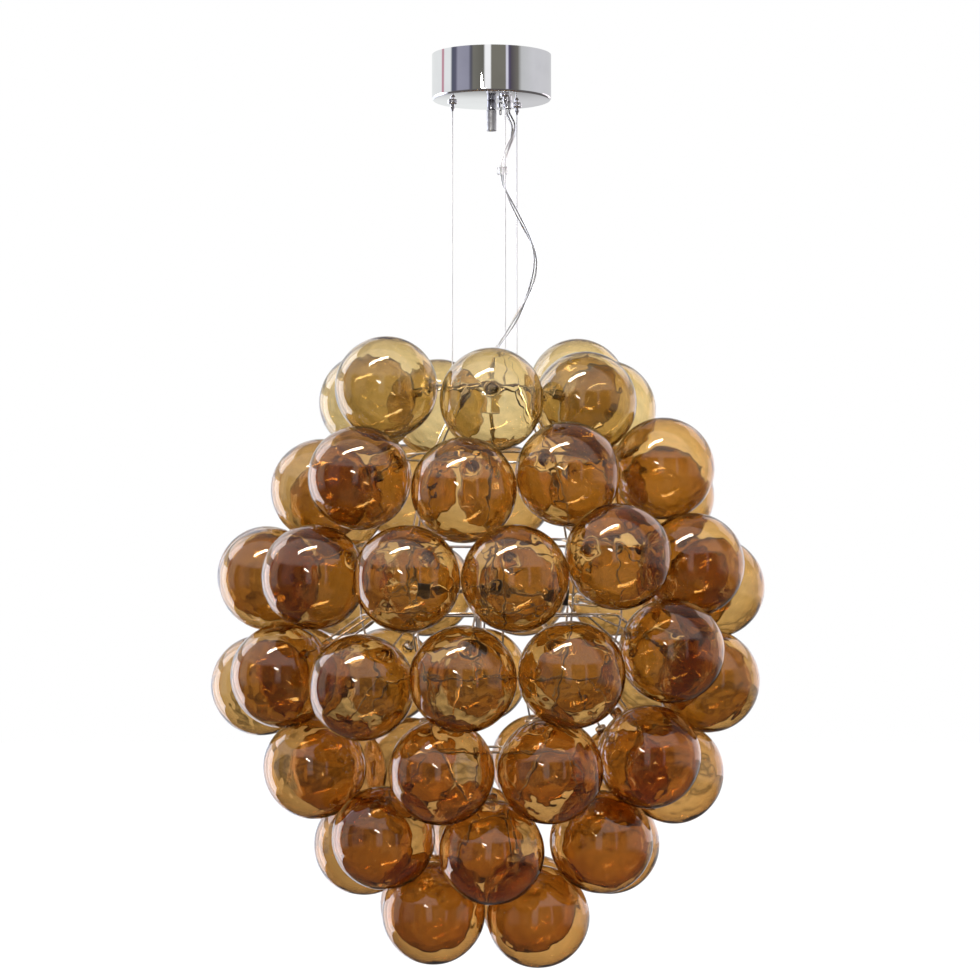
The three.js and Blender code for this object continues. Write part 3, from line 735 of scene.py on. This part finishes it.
# Row by row: its reach from the axis, its drop below the crown and its cage ring's reach and drop,
# then its globes in touching groups, each with its turn in degrees, its own lift and its own extra
# reach. All but the turns are shares of a globe's pitch.
shade_rows = [
    {"name": "crown", "reach": 1.165, "drop": 0, "ring": (0.395, -0.138), "groups": [
        [(-152, 0, 0), (-103, 0, 0.09), (-55, 0.07, 0.08)],
        [(0, -0.08, 0), (51, -0.08, 0), (102, -0.08, 0)],
        [(143, 0.22, 0.3)],
    ]},
    {"name": "second", "reach": 1.728, "drop": 0.839, "ring": (0.958, 0.563), "groups": [
        [(-8.6, -0.13, 0), (25.3, 0.03, -0.05)],
        [(76, 0.14, 0), (108, -0.08, 0.1), (141, 0, 0), (175, 0, 0)],
        [(211, 0, 0), (245, -0.15, 0), (279, -0.06, -0.04), (313.3, 0.01, 0)],
    ]},
    {"name": "third", "reach": 2.221, "drop": 1.728, "ring": (1.293, 1.412), "groups": [
        [(-101.5, 0, 0.07), (-75.7, -0.05, 0), (-49, -0.05, 0)],
        [(-20.6, -0.08, 0), (5.6, -0.08, 0), (31, 0.13, 0.06)],
        [(65, 0.08, -0.09), (91.5, -0.12, -0.02), (117.5, -0.07, 0.02)],
        [(145, -0.1, 0), (171.5, -0.1, 0), (198, -0.1, 0), (224.5, -0.1, 0)],
    ]},
    {"name": "fourth", "reach": 2.192, "drop": 2.734, "ring": (1.283, 2.122), "groups": [
        [(-118, 0, 0), (-92, -0.08, 0.08), (-66, 0.02, 0)],
        [(-33.6, -0.08, 0), (-6.9, 0, 0), (19.7, 0.04, 0)],
        [(49.5, 0.26, 0.04), (75, -0.03, -0.02), (102, -0.06, 0)],
        [(130, 0, 0), (156.5, 0, 0), (183, 0, 0), (209.5, 0, 0)],
    ]},
    {"name": "fifth", "reach": 1.777, "drop": 3.633, "ring": (1.135, 2.744), "groups": [
        [(-119, -0.06, 0), (-152, -0.03, 0)],
        [(-75, 0.03, 0)],
        [(-15.4, 0.03, -0.02), (18.3, 0.04, -0.04)],
        [(57.9, 0.15, 0), (90, -0.04, 0.01)],
        [(131, -0.1, 0), (164, 0, 0)],
    ]},
    {"name": "sixth", "reach": 1.283, "drop": 4.363, "ring": (0.839, 3.445), "groups": [
        [(-96, -0.02, -0.02), (-51, 0.1, 0.05)],
        [(0, -0.01, -0.04)],
        [(60.8, 0.05, -0.07), (109.5, -0.03, -0.04)],
        [(186, 0.02, 0.02)],
    ]},
    {"name": "lowest", "reach": 0.711, "drop": 5.025, "ring": (0.217, 4.087), "groups": [
        [(151.6, 0.01, 0.12), (-136.3, 0.01, 0.18), (-57, 0.01, -0.04), (57, -0.03, -0.17)],
    ]},
]


def row_height(drop):
    return -crown_drop - drop * pitch


rings = [(row["ring"][0] * pitch, row_height(row["ring"][1])) for row in shade_rows]
rings[0] = (wire_reach, rings[0][1])


def globe_place(row, ring, turn, lift, out):
    """A globe's centre, the place on the cage that carries it, and the direction of its neck."""
    centre = at_turn(turn, (row["reach"] + out) * pitch, row_height(row["drop"] - lift))
    root = at_turn(turn, ring[0] * cos(pi / ring_spans), ring[1])
    return centre, root, (root - centre).normalized()


def globe_profile():
    """Half the section of a blown globe with its neck up: outside, lip, then inside."""
    inside = globe_radius - glass_wall
    lip = globe_radius + neck_length
    outer_neck = acos((neck_radius + neck_fillet) / globe_radius)
    inner_neck = acos((neck_bore + neck_fillet) / inside)
    shoulder = globe_radius * sin(outer_neck) + 0.0004

    def fillet(radius, base):
        centre = (radius + neck_fillet, base + neck_fillet)
        return arc(centre, neck_fillet, -pi / 2, -pi, 6)[1:]

    return [
        (0, -globe_radius),
        *arc((0, 0), globe_radius, -pi / 2, outer_neck, 32)[1:],
        *fillet(neck_radius, shoulder),
        (neck_radius, lip - 0.0016), (neck_radius + 0.0003, lip - 0.0009),
        (neck_radius + 0.0001, lip - 0.0002), ((neck_radius + neck_bore) / 2, lip),
        (neck_bore + 0.0001, lip - 0.0002), (neck_bore, lip - 0.0009),
        *reversed(fillet(neck_bore, shoulder - glass_wall)),
        *arc((0, 0), inside, inner_neck, -pi / 2, 32)[:-1],
        (0, -inside),
    ]


# A copy of one piece on each point, its top turned to the point's facing, and each a little uneven
# in size and surface, as hand work is
set_on_places, given, result = new_group(
    "set_on_places",
    "GeometryNodeTree",
    {"Places": "Geometry", "Piece": "Object", "Finish": "Material"}
    | {"Unevenness": "Float", "Wave Scale": "Float"},
    {"Pieces": "Geometry"},
)
tree = set_on_places
facing = {"Vector": named_attribute(tree, "facing", "FLOAT_VECTOR")}
turned = add_node(tree, "FunctionNodeAlignRotationToVector", facing, axis="Z")
points = add_node(tree, "GeometryNodeMeshToPoints", {"Mesh": given["Places"]})
piece = add_node(tree, "GeometryNodeObjectInfo", {"Object": given["Piece"]}).outputs["Geometry"]
stand = {"Points": points, "Instance": piece, "Rotation": turned}
copies = add_node(tree, "GeometryNodeInstanceOnPoints", stand)
real = add_node(tree, "GeometryNodeRealizeInstances", {"Geometry": copies})
position = add_node(tree, "GeometryNodeInputPosition")
waves = {"Vector": position, "Scale": given["Wave Scale"], "Detail": 1}
centred = add_math(tree, "SUBTRACT", add_node(tree, "ShaderNodeTexNoise", waves), 0.5)
swell = add_math(tree, "MULTIPLY", centred, given["Unevenness"])
outward = named_attribute(tree, "outward", "FLOAT_VECTOR")
push = add_node(tree, "ShaderNodeVectorMath", {0: outward, "Scale": swell}, operation="SCALE")
uneven = add_node(tree, "GeometryNodeSetPosition", {"Geometry": real, "Offset": push})
paint = {"Geometry": uneven, "Material": given["Finish"]}
feed(result, {"Pieces": add_node(tree, "GeometryNodeSetMaterial", paint)})


def set_copies(name, template, places, finish, unevenness=0.0, wave_scale=16.0):
    """Copies of a template, one at each (place, facing), as one piece."""
    mesh = bpy.data.meshes.new(name)
    mesh.from_pydata([tuple(place) for place, _ in places], [], [])
    add_attribute(mesh, "facing", "FLOAT_VECTOR", [x for _, facing in places for x in facing])
    return run_tree(
        add_object(name, mesh),
        set_on_places,
        Piece=template,
        Unevenness=unevenness,
        Wave_Scale=wave_scale,
        Finish=finish,
    )


# Cage
# Chrome-plated round wire: seven welded rings, four long ribs that run down inside them, four short
# ones at the widest ring, and one arm for each globe. Its sprung clip holds the globe by its neck.
rib_radius = 0.0011
arm_radius = 0.0011
eye_reach = 0.0054
long_rib_turns = (-38, 38, 142, 218)
short_rib_turns = (-86, 5, 94, 185)
middle_ring = 3
ring_draw_in = 0.997  # share of the reach of the CAD ring's corners
cage_chrome = bright_metal("cage_chrome", (0.72, 0.71, 0.69), (0.6, 0.58, 0.56), 0.1, 0.12, 150, 0.1)


def ring_line(ring, points=96):
    """A cage ring, drawn in to lie along the straight spans that the CAD ring is made of."""
    return [at_turn(360 * k / points, ring[0] * ring_draw_in, ring[1]) for k in range(points)]


def inside_of(i):
    """Where a rib passes ring i: inside it, square to the slope between its neighbours."""
    above, ring, below = rings[i - 1 : i + 2]
    inward = Vector((below[1] - above[1], above[0] - below[0])).normalized()
    inward *= ring_wire_radius + rib_radius + clearance
    return ring[0] * cos(pi / ring_spans) + inward.x, ring[1] + inward.y


def rib_line(turn, way, steps=10):
    return smooth_line([at_turn(turn, reach, height) for reach, height in way], steps)


neck_end = globe_radius + neck_length
clip_profile = rounded(
    0.0003,
    (0, neck_end + 0.0019), (0.0030, neck_end + 0.0018), (0.0056, neck_end + 0.0010),
    (0.0058, neck_end + 0.0002), (0.0036, neck_end + 0.0002), (0.0034, neck_end - 0.0035),
    (0, neck_end - 0.0035),
)
clip_meshes = [lathe_mesh(clip_profile, 24)]
prong_radius = 0.0004
prong_start = neck_end - 0.0034
prong_way = [(0.0012, 0), (0.0026, 0.0025), (0.0034, 0.0055), (0.0022, 0.0085), (0.0016, 0.0095)]
for turn in (0, 120, 240):
    prong = [at_turn(turn, reach, prong_start - drop) for reach, drop in prong_way]
    clip_meshes.append(tube_mesh(smooth_line(prong, 3), prong_radius, 6))
clip_template = mesh_piece("clip_template", *joined(clip_meshes), cage_chrome)
crease(clip_template)

top_ring, lowest_ring = rings[0], rings[-1]
for number, row in enumerate(shade_rows):
    held = [globe_place(row, rings[number], *spot) for group in row["groups"] for spot in group]
    lines = [(ring_line(rings[number]), ring_wire_radius, True)]
    for centre, root, neck in held:
        lines.append(([root, centre + neck * (neck_end + 0.001)], arm_radius, False))
    if number == 0:
        way = [top_ring] + [inside_of(i) for i in range(1, 6)] + [lowest_ring]
        lines += [(rib_line(turn, way), rib_radius, False) for turn in long_rib_turns]
        for turn in wire_turns:
            spoke = [at_turn(turn, reach, top_ring[1]) for reach in (eye_reach, wire_reach)]
            lines.append((spoke, rib_radius, False))
        lines.append((ring_line((eye_reach, top_ring[1]), 32), rib_radius, True))
    if number == middle_ring:
        way = [inside_of(number - 1), rings[number], inside_of(number + 1)]
        lines += [(rib_line(turn, way), rib_radius, False) for turn in short_rib_turns]
    node = "cage_frame" if number in (0, 6) else f"cage_ring_{number + 1}"
    wires = wire_piece(f"cage_wires_{row['name']}", lines, cage_chrome)
    clips = set_copies(
        f"neck_clips_{row['name']}",
        clip_template,
        [(centre, neck) for centre, _, neck in held],
        cage_chrome,
    )
    for piece in (wires, clips):
        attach(piece, "shade")
        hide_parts(node)
bpy.data.objects.remove(clip_template)

# Flex anchor and lamp hub
# A clear plastic anchor under the top ring grips the flex. A thin stem goes down from it to the
# hub, a chrome drum whose tubular limbs carry the five lamp holders.
anchor_top = top_ring_height - ring_wire_radius - clearance
anchor_neck_radius = 0.004
anchor_neck_height = 0.006
anchor_radius = 0.0085
anchor_height = 0.019
anchor_under = anchor_top - anchor_neck_height - anchor_height
anchor_profile = rounded(
    0.0012,
    (0, anchor_top), (anchor_neck_radius, anchor_top),
    (anchor_neck_radius, anchor_top - anchor_neck_height),
    (anchor_radius, anchor_top - anchor_neck_height), (anchor_radius, anchor_under),
    (0, anchor_under),
)
anchor = turned_piece("flex_anchor", anchor_profile, 48, clip_plastic)
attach(anchor, "shade")
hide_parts("cord_anchor")

hub_drop = 0.5385
hub_radius = 0.018
hub_height = 0.014
stem_radius = 0.002
limb_radius = 0.0035
limb_reach = 0.053
down_limb_reach = 0.038
down_limb_offset = 0.0135
hub_middle = Vector((0, 0, -hub_drop))
limbs = {}
for name, turn, fall in (("left", -90, 0), ("front", 0, 0), ("right", 90, 6), ("rear", 180, 0)):
    direction = at_turn(turn, cos(radians(fall)), -sin(radians(fall)))
    limbs[name] = (hub_middle, direction, hub_middle + direction * limb_reach)
down_start = hub_middle - Vector((down_limb_offset, 0, 0))
limbs["down"] = (down_start, Vector((0, 0, -1)), down_start - Vector((0, 0, down_limb_reach)))

hub_top = hub_height / 2
hub_profile = rounded(
    0.0006,
    (0, -hub_top), (hub_radius * 0.86, -hub_top), (hub_radius, -hub_top + 0.002),
    (hub_radius, hub_top - 0.002), (hub_radius * 0.86, hub_top), (0.0035, hub_top),
    (0.003, hub_top + 0.003), (0, hub_top + 0.003),
)
hub = turned_piece("hub_drum", hub_profile, 64, cage_chrome, hub_middle)
stem_line = straight(hub_middle, (0, 0, anchor_under - clearance), 2)
tube_lines = [(stem_line, stem_radius, False)]
tube_lines += [([start, end], limb_radius, False) for start, _, end in limbs.values()]
tubes = wire_piece("hub_limbs", tube_lines, cage_chrome, 24)
for piece in (hub, tubes):
    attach(piece, "shade")
    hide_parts("lamp_hub")

# Lamp holders and bulbs
# Dark ceramic holders, each on a chrome collar at the end of its limb, with a clear capsule bulb
# pushed in: a hollow glass capsule on a solid base, and a filament on its support.
collar_length = 0.006
collar_radius = 0.0085
holder_length = 0.018
holder_radius = 0.0078
socket_radius = 0.0052
socket_depth = 0.012
bulb_base_length = 0.01
bulb_base_radius = 0.0046
bulb_radius = 0.0065
bulb_length = 0.033
bulb_wall = 0.0008
coil_start = 0.011  # above the capsule's shoulder
coil_length = 0.012
coil_radius = 0.0009
coil_wire_radius = 0.00018
coil_turns = 12
lead_radius = 0.00025
lead_reach = 0.0012
support_reach = 0.0032
dark_ceramic = speckled("dark_ceramic", (0.012, 0.011, 0.01), (0.03, 0.027, 0.024), 700, 0.42)
capsule_glass, _ = clear_material("capsule_glass", (0.98, 0.98, 0.98), 0, 1.46)
filament_metal, _ = plain_metal("filament_metal", (0.3, 0.29, 0.28), 0.35)

start = clearance
collar_end = start + collar_length
mouth = collar_end + holder_length
socket_floor = mouth - socket_depth
holder_collar_profile = rounded(
    0.0005,
    (0, start), (0.007, start), (collar_radius, start + 0.0015), (collar_radius, collar_end),
    (0, collar_end),
)
holder_profile = rounded(
    0.0006,
    (0, collar_end), (holder_radius, collar_end), (holder_radius, mouth),
    (socket_radius, mouth), (socket_radius, socket_floor), (0, socket_floor),
)
shoulder = mouth + clearance
bulb_end = shoulder + bulb_length


def dome(radius, end):
    """A capsule's round end, from the axis out to its side."""
    return [(0, end), *arc((0, end - radius), radius, pi / 2, 0, 8)[1:]]


capsule_profile = dome(bulb_radius, bulb_end) + [
    (bulb_radius, shoulder + 0.007), (bulb_radius * 0.8, shoulder + 0.003),
    (bulb_base_radius, shoulder), (bulb_base_radius, shoulder - bulb_base_length),
    (0, shoulder - bulb_base_length),
]
hollow_profile = dome(bulb_radius - bulb_wall, bulb_end - bulb_wall) + [
    (bulb_radius - bulb_wall, shoulder + 0.0075), (bulb_radius * 0.6, shoulder + 0.004),
    (0, shoulder + 0.0035),
]
for name, (_, direction, end) in limbs.items():
    along_limb = (end, direction)
    collar = turned_piece(
        f"holder_collar_{name}", holder_collar_profile, 40, polished_chrome, *along_limb
    )
    holder = turned_piece(f"holder_body_{name}", holder_profile, 40, dark_ceramic, *along_limb)
    for piece in (collar, holder):
        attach(piece, "shade")
        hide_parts(f"lamp_holder_{name}")
    shell = lathe_mesh(capsule_profile, 32, *along_limb)
    hollow = lathe_mesh(hollow_profile, 32, *along_limb)
    capsule = mesh_piece(f"bulb_capsule_{name}", *shell, capsule_glass)
    inner = mesh_piece("bulb_hollow", *hollow)
    inner.data.flip_normals()
    work = bmesh.new()
    work.from_mesh(capsule.data)
    work.from_mesh(inner.data)
    work.to_mesh(capsule.data)
    work.free()
    bpy.data.objects.remove(inner)
    across = direction.orthogonal().normalized()
    swing = direction.cross(across)
    coil_foot = end + direction * (shoulder + coil_start)
    coil = []
    for k in range(6 * coil_turns + 1):
        angle = 2 * pi * k / 6
        rise = coil_length * k / (6 * coil_turns)
        aside = coil_radius * (cos(angle) * across + sin(angle) * swing)
        coil.append(coil_foot + direction * rise + aside)
    lead_low = end + direction * (shoulder + 0.0036)
    support = lead_low - across * support_reach
    lead = [lead_low + across * lead_reach, coil_foot + across * coil_radius]
    bracket = [
        lead_low - across * lead_reach,
        support + direction * 0.006,
        support + direction * 0.018,
        coil[-1],
    ]
    filament = wire_piece(
        f"bulb_filament_{name}",
        [(coil, coil_wire_radius, False), (lead, lead_radius, False), (bracket, lead_radius, False)],
        filament_metal,
        6,
    )
    for piece in (capsule, filament):
        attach(piece, f"lamp_{name}")
        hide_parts(f"bulb_{name}")

# Glass
# The globes' amber: clear glass whose colour comes from the length of wall that the light crosses.


def blown_glass(name, tint):
    """Clear glass whose volume takes up all but the tint, with faint ripples on its inner surface."""
    glass, shader = clear_material(name, (0.98, 0.97, 0.94), 0, 1.5)
    tree = glass.node_tree
    within = add_node(tree, "ShaderNodeAttribute", attribute_name="within").outputs["Fac"]
    ripples = {"Strength": within, "Distance": 0.0007, "Height": add_noise(tree, 55, 1)}
    feed(shader, {"Normal": add_node(tree, "ShaderNodeBump", ripples)})
    absorb = add_node(tree, "ShaderNodeVolumeAbsorption", {"Color": tint, "Density": 960})
    feed(tree.nodes["Material Output"], {"Volume": absorb})
    return glass


# Painted light and shade: the crown's paler tint stands in for more light, the lowest rows' deeper
# tint for shade
pale_glass_painted_light = blown_glass("pale_amber_glass_painted_light", (0.83, 0.735, 0.47))
amber_glass = blown_glass("amber_glass", (0.785, 0.61, 0.22))
deep_glass_painted_shade = blown_glass("deep_amber_glass_painted_shade", (0.79, 0.585, 0.18))
row_glass_painted_light_and_shade = [pale_glass_painted_light] + 3 * [amber_glass] + 3 * [deep_glass_painted_shade]

globe_template = mesh_piece("globe_template", *lathe_mesh(globe_profile(), 64), amber_glass)
globe_mesh = globe_template.data
inner_limit = globe_radius - glass_wall / 2
outward = [x for v in globe_mesh.vertices for x in v.co.normalized()]
within = [float(v.co.length < inner_limit) for v in globe_mesh.vertices]
add_attribute(globe_mesh, "outward", "FLOAT_VECTOR", outward)
add_attribute(globe_mesh, "within", "FLOAT", within)
for number, row in enumerate(shade_rows):
    for i, group in enumerate(row["groups"]):
        places = [globe_place(row, rings[number], *spot) for spot in group]
        globes = set_copies(
            f"blown_globes_{row['name']}_{i + 1}",
            globe_template,
            [(centre, neck) for centre, _, neck in places],
            row_glass_painted_light_and_shade[number],
            unevenness=0.0022,
            wave_scale=17.0,
        )
        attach(globes, "shade")
        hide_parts(f"globes_{row['name']}_{i + 1}")
bpy.data.objects.remove(globe_template)

# Studio
# A pale floor far below, clear when seen from under it, and a white backdrop. Mirror-bright pieces
# also see the room in front of the lamp: dark, with soft lights above, at the left and high up.
floor_height = -2.3
floor_reach = 54
floor_glow = 0.75  # share of the floor's look that is plain white, the rest is lit
below_glow = 0.12
# The backdrop's glow as seen through glass: by distance on the floor, then by height above it
near_backdrop = [(11.5, 1.0), (22, 0.95), (30, 0.72), (41.5, 0.38), (54, 0.54)]
far_backdrop = [
    (-0.033, 0.54), (-0.02, 0.8), (0, 0.88), (0.023, 1.0), (0.045, 1.1), (0.08, 1.3), (0.1, 1.35),
]
side_backdrop = (0.8, 1.24)  # its share at the left and the right of the shade
side_reach = 0.08


def add_ramp(tree, share, stops):
    """A colour ramp with a stop at each (share, colour)."""
    ramp = add_node(tree, "ShaderNodeValToRGB", {"Fac": share})
    elements = ramp.color_ramp.elements
    elements.remove(elements[-1])
    for i, (position, colour) in enumerate(stops):
        stop = elements.new(position) if i else elements[0]
        stop.position = position
        stop.color = (*colour, 1)
    return ramp


def glow_curve(tree, source, sideways, curve):
    """A distance or a height turned into its glow, in straight steps between the points."""
    first, last = curve[0][0], curve[-1][0]
    stops = [((place - first) / (last - first), (glow, glow, glow)) for place, glow in curve]
    ramp = add_ramp(tree, map_range(tree, source, first, last), stops)
    side = map_range(tree, sideways, -side_reach, side_reach, *side_backdrop)
    return add_math(tree, "MULTIPLY", ramp, side)


def straight_through(tree):
    """What kind of ray it is, and 1 for a ray that no surface has mirrored yet, else 0."""
    path = add_node(tree, "ShaderNodeLightPath").outputs
    return path, add_math(tree, "LESS_THAN", path["Glossy Depth"], 0.5)


def mix_shaders(tree, factor, first, second):
    return add_node(tree, "ShaderNodeMixShader", {0: factor, 1: first, 2: second})


floor_corners = [
    (x * floor_reach, y * floor_reach, floor_height) for x, y in ((-1, -1), (1, -1), (1, 1), (-1, 1))
]
floor_mesh = bpy.data.meshes.new("floor")
floor_mesh.from_pydata(floor_corners, [], [(0, 1, 2, 3)])
floor = add_object("floor", floor_mesh)
pale, shader = new_material("pale_floor", {"Base Color": (0.9, 0.9, 0.9), "Roughness": 0.9})
tree = pale.node_tree
path, unmirrored = straight_through(tree)
plain_white = add_node(tree, "ShaderNodeEmission", {"Strength": 1.2})
share = add_math(tree, "MULTIPLY", path["Is Camera Ray"], floor_glow)
direct = mix_shaders(tree, share, shader, plain_white)
place = add_node(tree, "ShaderNodeTexCoord").outputs["Object"]
away = add_node(tree, "ShaderNodeVectorMath", {0: place}, operation="LENGTH")
parts = add_node(tree, "ShaderNodeSeparateXYZ", {"Vector": place}).outputs
sideways = add_math(tree, "DIVIDE", parts["X"], away)
fall = glow_curve(tree, away, sideways, near_backdrop)
glows = {"Factor": unmirrored, "A": below_glow, "B": fall}
through_glow = add_node(tree, "ShaderNodeMix", glows)
through = add_node(tree, "ShaderNodeEmission", {"Strength": through_glow})
seen = mix_shaders(tree, path["Is Transmission Ray"], direct, through)
side = add_node(tree, "ShaderNodeNewGeometry").outputs["Backfacing"]
one_sided = mix_shaders(tree, side, seen, add_node(tree, "ShaderNodeBsdfTransparent"))
feed(tree.nodes["Material Output"], {"Surface": one_sided})
floor_mesh.materials.append(pale)
floor.visible_glossy = False

# The room by direction: a turn from the front, as in a ring, then its colour there
room_ring = [
    (-180, (0.86, 0.88, 0.87)), (-113, (0.86, 0.88, 0.87)), (-110, (0.55, 0.27, 0.33)),
    (-106, (0.55, 0.27, 0.33)), (-103, (0.86, 0.88, 0.88)), (-86, (0.86, 0.88, 0.88)),
    (-82, (0.1, 0.11, 0.15)), (-73, (0.12, 0.12, 0.17)), (-68, (0.34, 0.34, 0.42)),
    (-45, (0.31, 0.31, 0.39)), (-40, (0.09, 0.09, 0.12)), (-35, (0.19, 0.185, 0.16)),
    (-15, (0.14, 0.135, 0.115)), (-12, (1.0, 1.0, 1.0)), (-2, (1.0, 1.0, 1.0)),
    (0, (0.2, 0.19, 0.16)), (27, (0.2, 0.19, 0.16)), (28.5, (0.75, 0.74, 0.85)),
    (31, (0.75, 0.74, 0.85)), (34, (0.08, 0.065, 0.13)), (39, (0.1, 0.09, 0.1)),
    (52, (0.18, 0.17, 0.15)), (60, (0.58, 0.59, 0.59)), (90, (0.66, 0.66, 0.68)),
    (180, (0.64, 0.64, 0.65)),
]
ceiling_ring = [
    (-180, (0.45, 0.42, 0.45)), (-116, (0.45, 0.42, 0.45)), (-106, (1.25, 1.16, 1.25)),
    (68, (1.25, 1.16, 1.25)), (80, (0.3, 0.27, 0.28)), (180, (0.4, 0.37, 0.4)),
]
ceiling_edge = (19, 27)  # degrees above the horizon, where the room turns into the ceiling lights
floor_edge = (-0.15, -0.35)  # how steeply down, where the room turns into the floor
room_dimness = (0.7, 0.7, 0.72)  # what matt surfaces see
below_colour = (below_glow, below_glow * 0.92, below_glow * 0.92)

world = bpy.data.worlds.new("studio")
scene.world = world
world.use_nodes = True
tree = world.node_tree
path, unmirrored = straight_through(tree)
looking = add_node(tree, "ShaderNodeTexCoord").outputs["Generated"]
parts = add_node(tree, "ShaderNodeSeparateXYZ", {"Vector": looking}).outputs
mirrored = add_math(tree, "MAXIMUM", path["Is Glossy Ray"], path["Is Transmission Ray"])
ahead = add_math(tree, "MULTIPLY", parts["Y"], -1)
turned = add_math(tree, "ARCTAN2", parts["X"], ahead)
along = map_range(tree, turned, -pi, pi)


def ring_colour(ring):
    """The colour at the looked-at turn of a ring that goes once round the room."""
    return add_ramp(tree, along, [((turn + 180) / 360, colour) for turn, colour in ring])


def height_share(low, high):
    """How far the looked-at height is from the first to the second, smoothly."""
    return map_range(tree, parts["Z"], low, high, interpolation_type="SMOOTHSTEP")


upper = height_share(*(sin(radians(angle)) for angle in ceiling_edge))
to_ceiling = mix_colours(tree, upper, ring_colour(room_ring), ring_colour(ceiling_ring))
to_floor = mix_colours(tree, height_share(*floor_edge), to_ceiling, below_colour)
room = mix_colours(tree, mirrored, room_dimness, to_floor)
through = add_math(tree, "MULTIPLY", path["Is Transmission Ray"], unmirrored)
backdrop = glow_curve(tree, parts["Z"], parts["X"], far_backdrop)
behind_glass = mix_colours(tree, through, room, backdrop)
seen = mix_colours(tree, path["Is Camera Ray"], behind_glass, (1, 1, 1))
feed(tree.nodes["Background"], {"Color": seen})

shade_middle = Vector((0, 0, -0.59))


def soft_light(name, direction, distance, width, height, roll, energy, colour):
    """A rectangular light aimed at the shade's middle, its long side turned by roll degrees."""
    data = bpy.data.lights.new(name, "AREA")
    data.shape = "RECTANGLE"
    data.size, data.size_y = width, height
    data.energy = energy
    data.color = colour
    aim = Vector(direction).normalized()
    turn = (-aim).to_track_quat("-Z", "Y").to_matrix() @ Matrix.Rotation(radians(roll), 3, "Z")
    place = Matrix.Translation(shade_middle + aim * distance)
    add_object(name, data).matrix_world = place @ turn.to_4x4()


soft_light("strip_light", (-0.24, -0.46, 0.855), 2.6, 1.6, 0.24, 40, 60, (1, 0.96, 0.84))
soft_light("small_light", (-0.25, -0.93, 0.24), 2.8, 0.5, 0.11, -32, 9, (1, 0.97, 0.9))


def side_light(name, first, last, low, high, glow):
    """A tall curved softbox that only mirror-bright pieces and glass see."""
    steps = 12
    corners = []
    for step in range(steps + 1):
        turn = first + (last - first) * step / steps
        corners += [tuple(at_turn(turn, softbox_reach, height)) for height in (low, high)]
    mesh = bpy.data.meshes.new(name)
    mesh.from_pydata(corners, [], [(k, k + 1, k + 3, k + 2) for k in range(0, 2 * steps, 2)])
    card = add_object(name, mesh)
    glowing = bpy.data.materials.new(name)
    glowing.use_nodes = True
    tree = glowing.node_tree
    tree.nodes.remove(tree.nodes["Principled BSDF"])
    light = add_node(tree, "ShaderNodeEmission", {"Color": glow})
    feed(tree.nodes["Material Output"], {"Surface": light})
    mesh.materials.append(glowing)
    card.visible_camera = card.visible_diffuse = card.visible_shadow = False


softbox_reach = 3
softbox_heights = {"low": (-2.2, 0.16), "high": (0.64, 2.6)}  # with a gap that the canopy would see
left_parts = (("near", -127, -107, 4.6), ("middle", -145, -127, 2.4), ("far", -170, -145, 1.2))
right_low_end = -0.9
for height, (low, high) in softbox_heights.items():
    for part, first, last, glow in left_parts:
        colour = (glow * 0.92, glow * 0.95, glow * 1.08)
        side_light(f"left_softbox_{part}_{height}", first, last, low, high, colour)
    side_light(f"right_softbox_{height}", 116, 160, max(low, right_low_end), high, (1.5, 1.38, 1.45))

scene.view_settings.view_transform = "Standard"
scene.cycles.max_bounces = 48
scene.cycles.transmission_bounces = 48
scene.cycles.glossy_bounces = 12
scene.cycles.transparent_max_bounces = 16
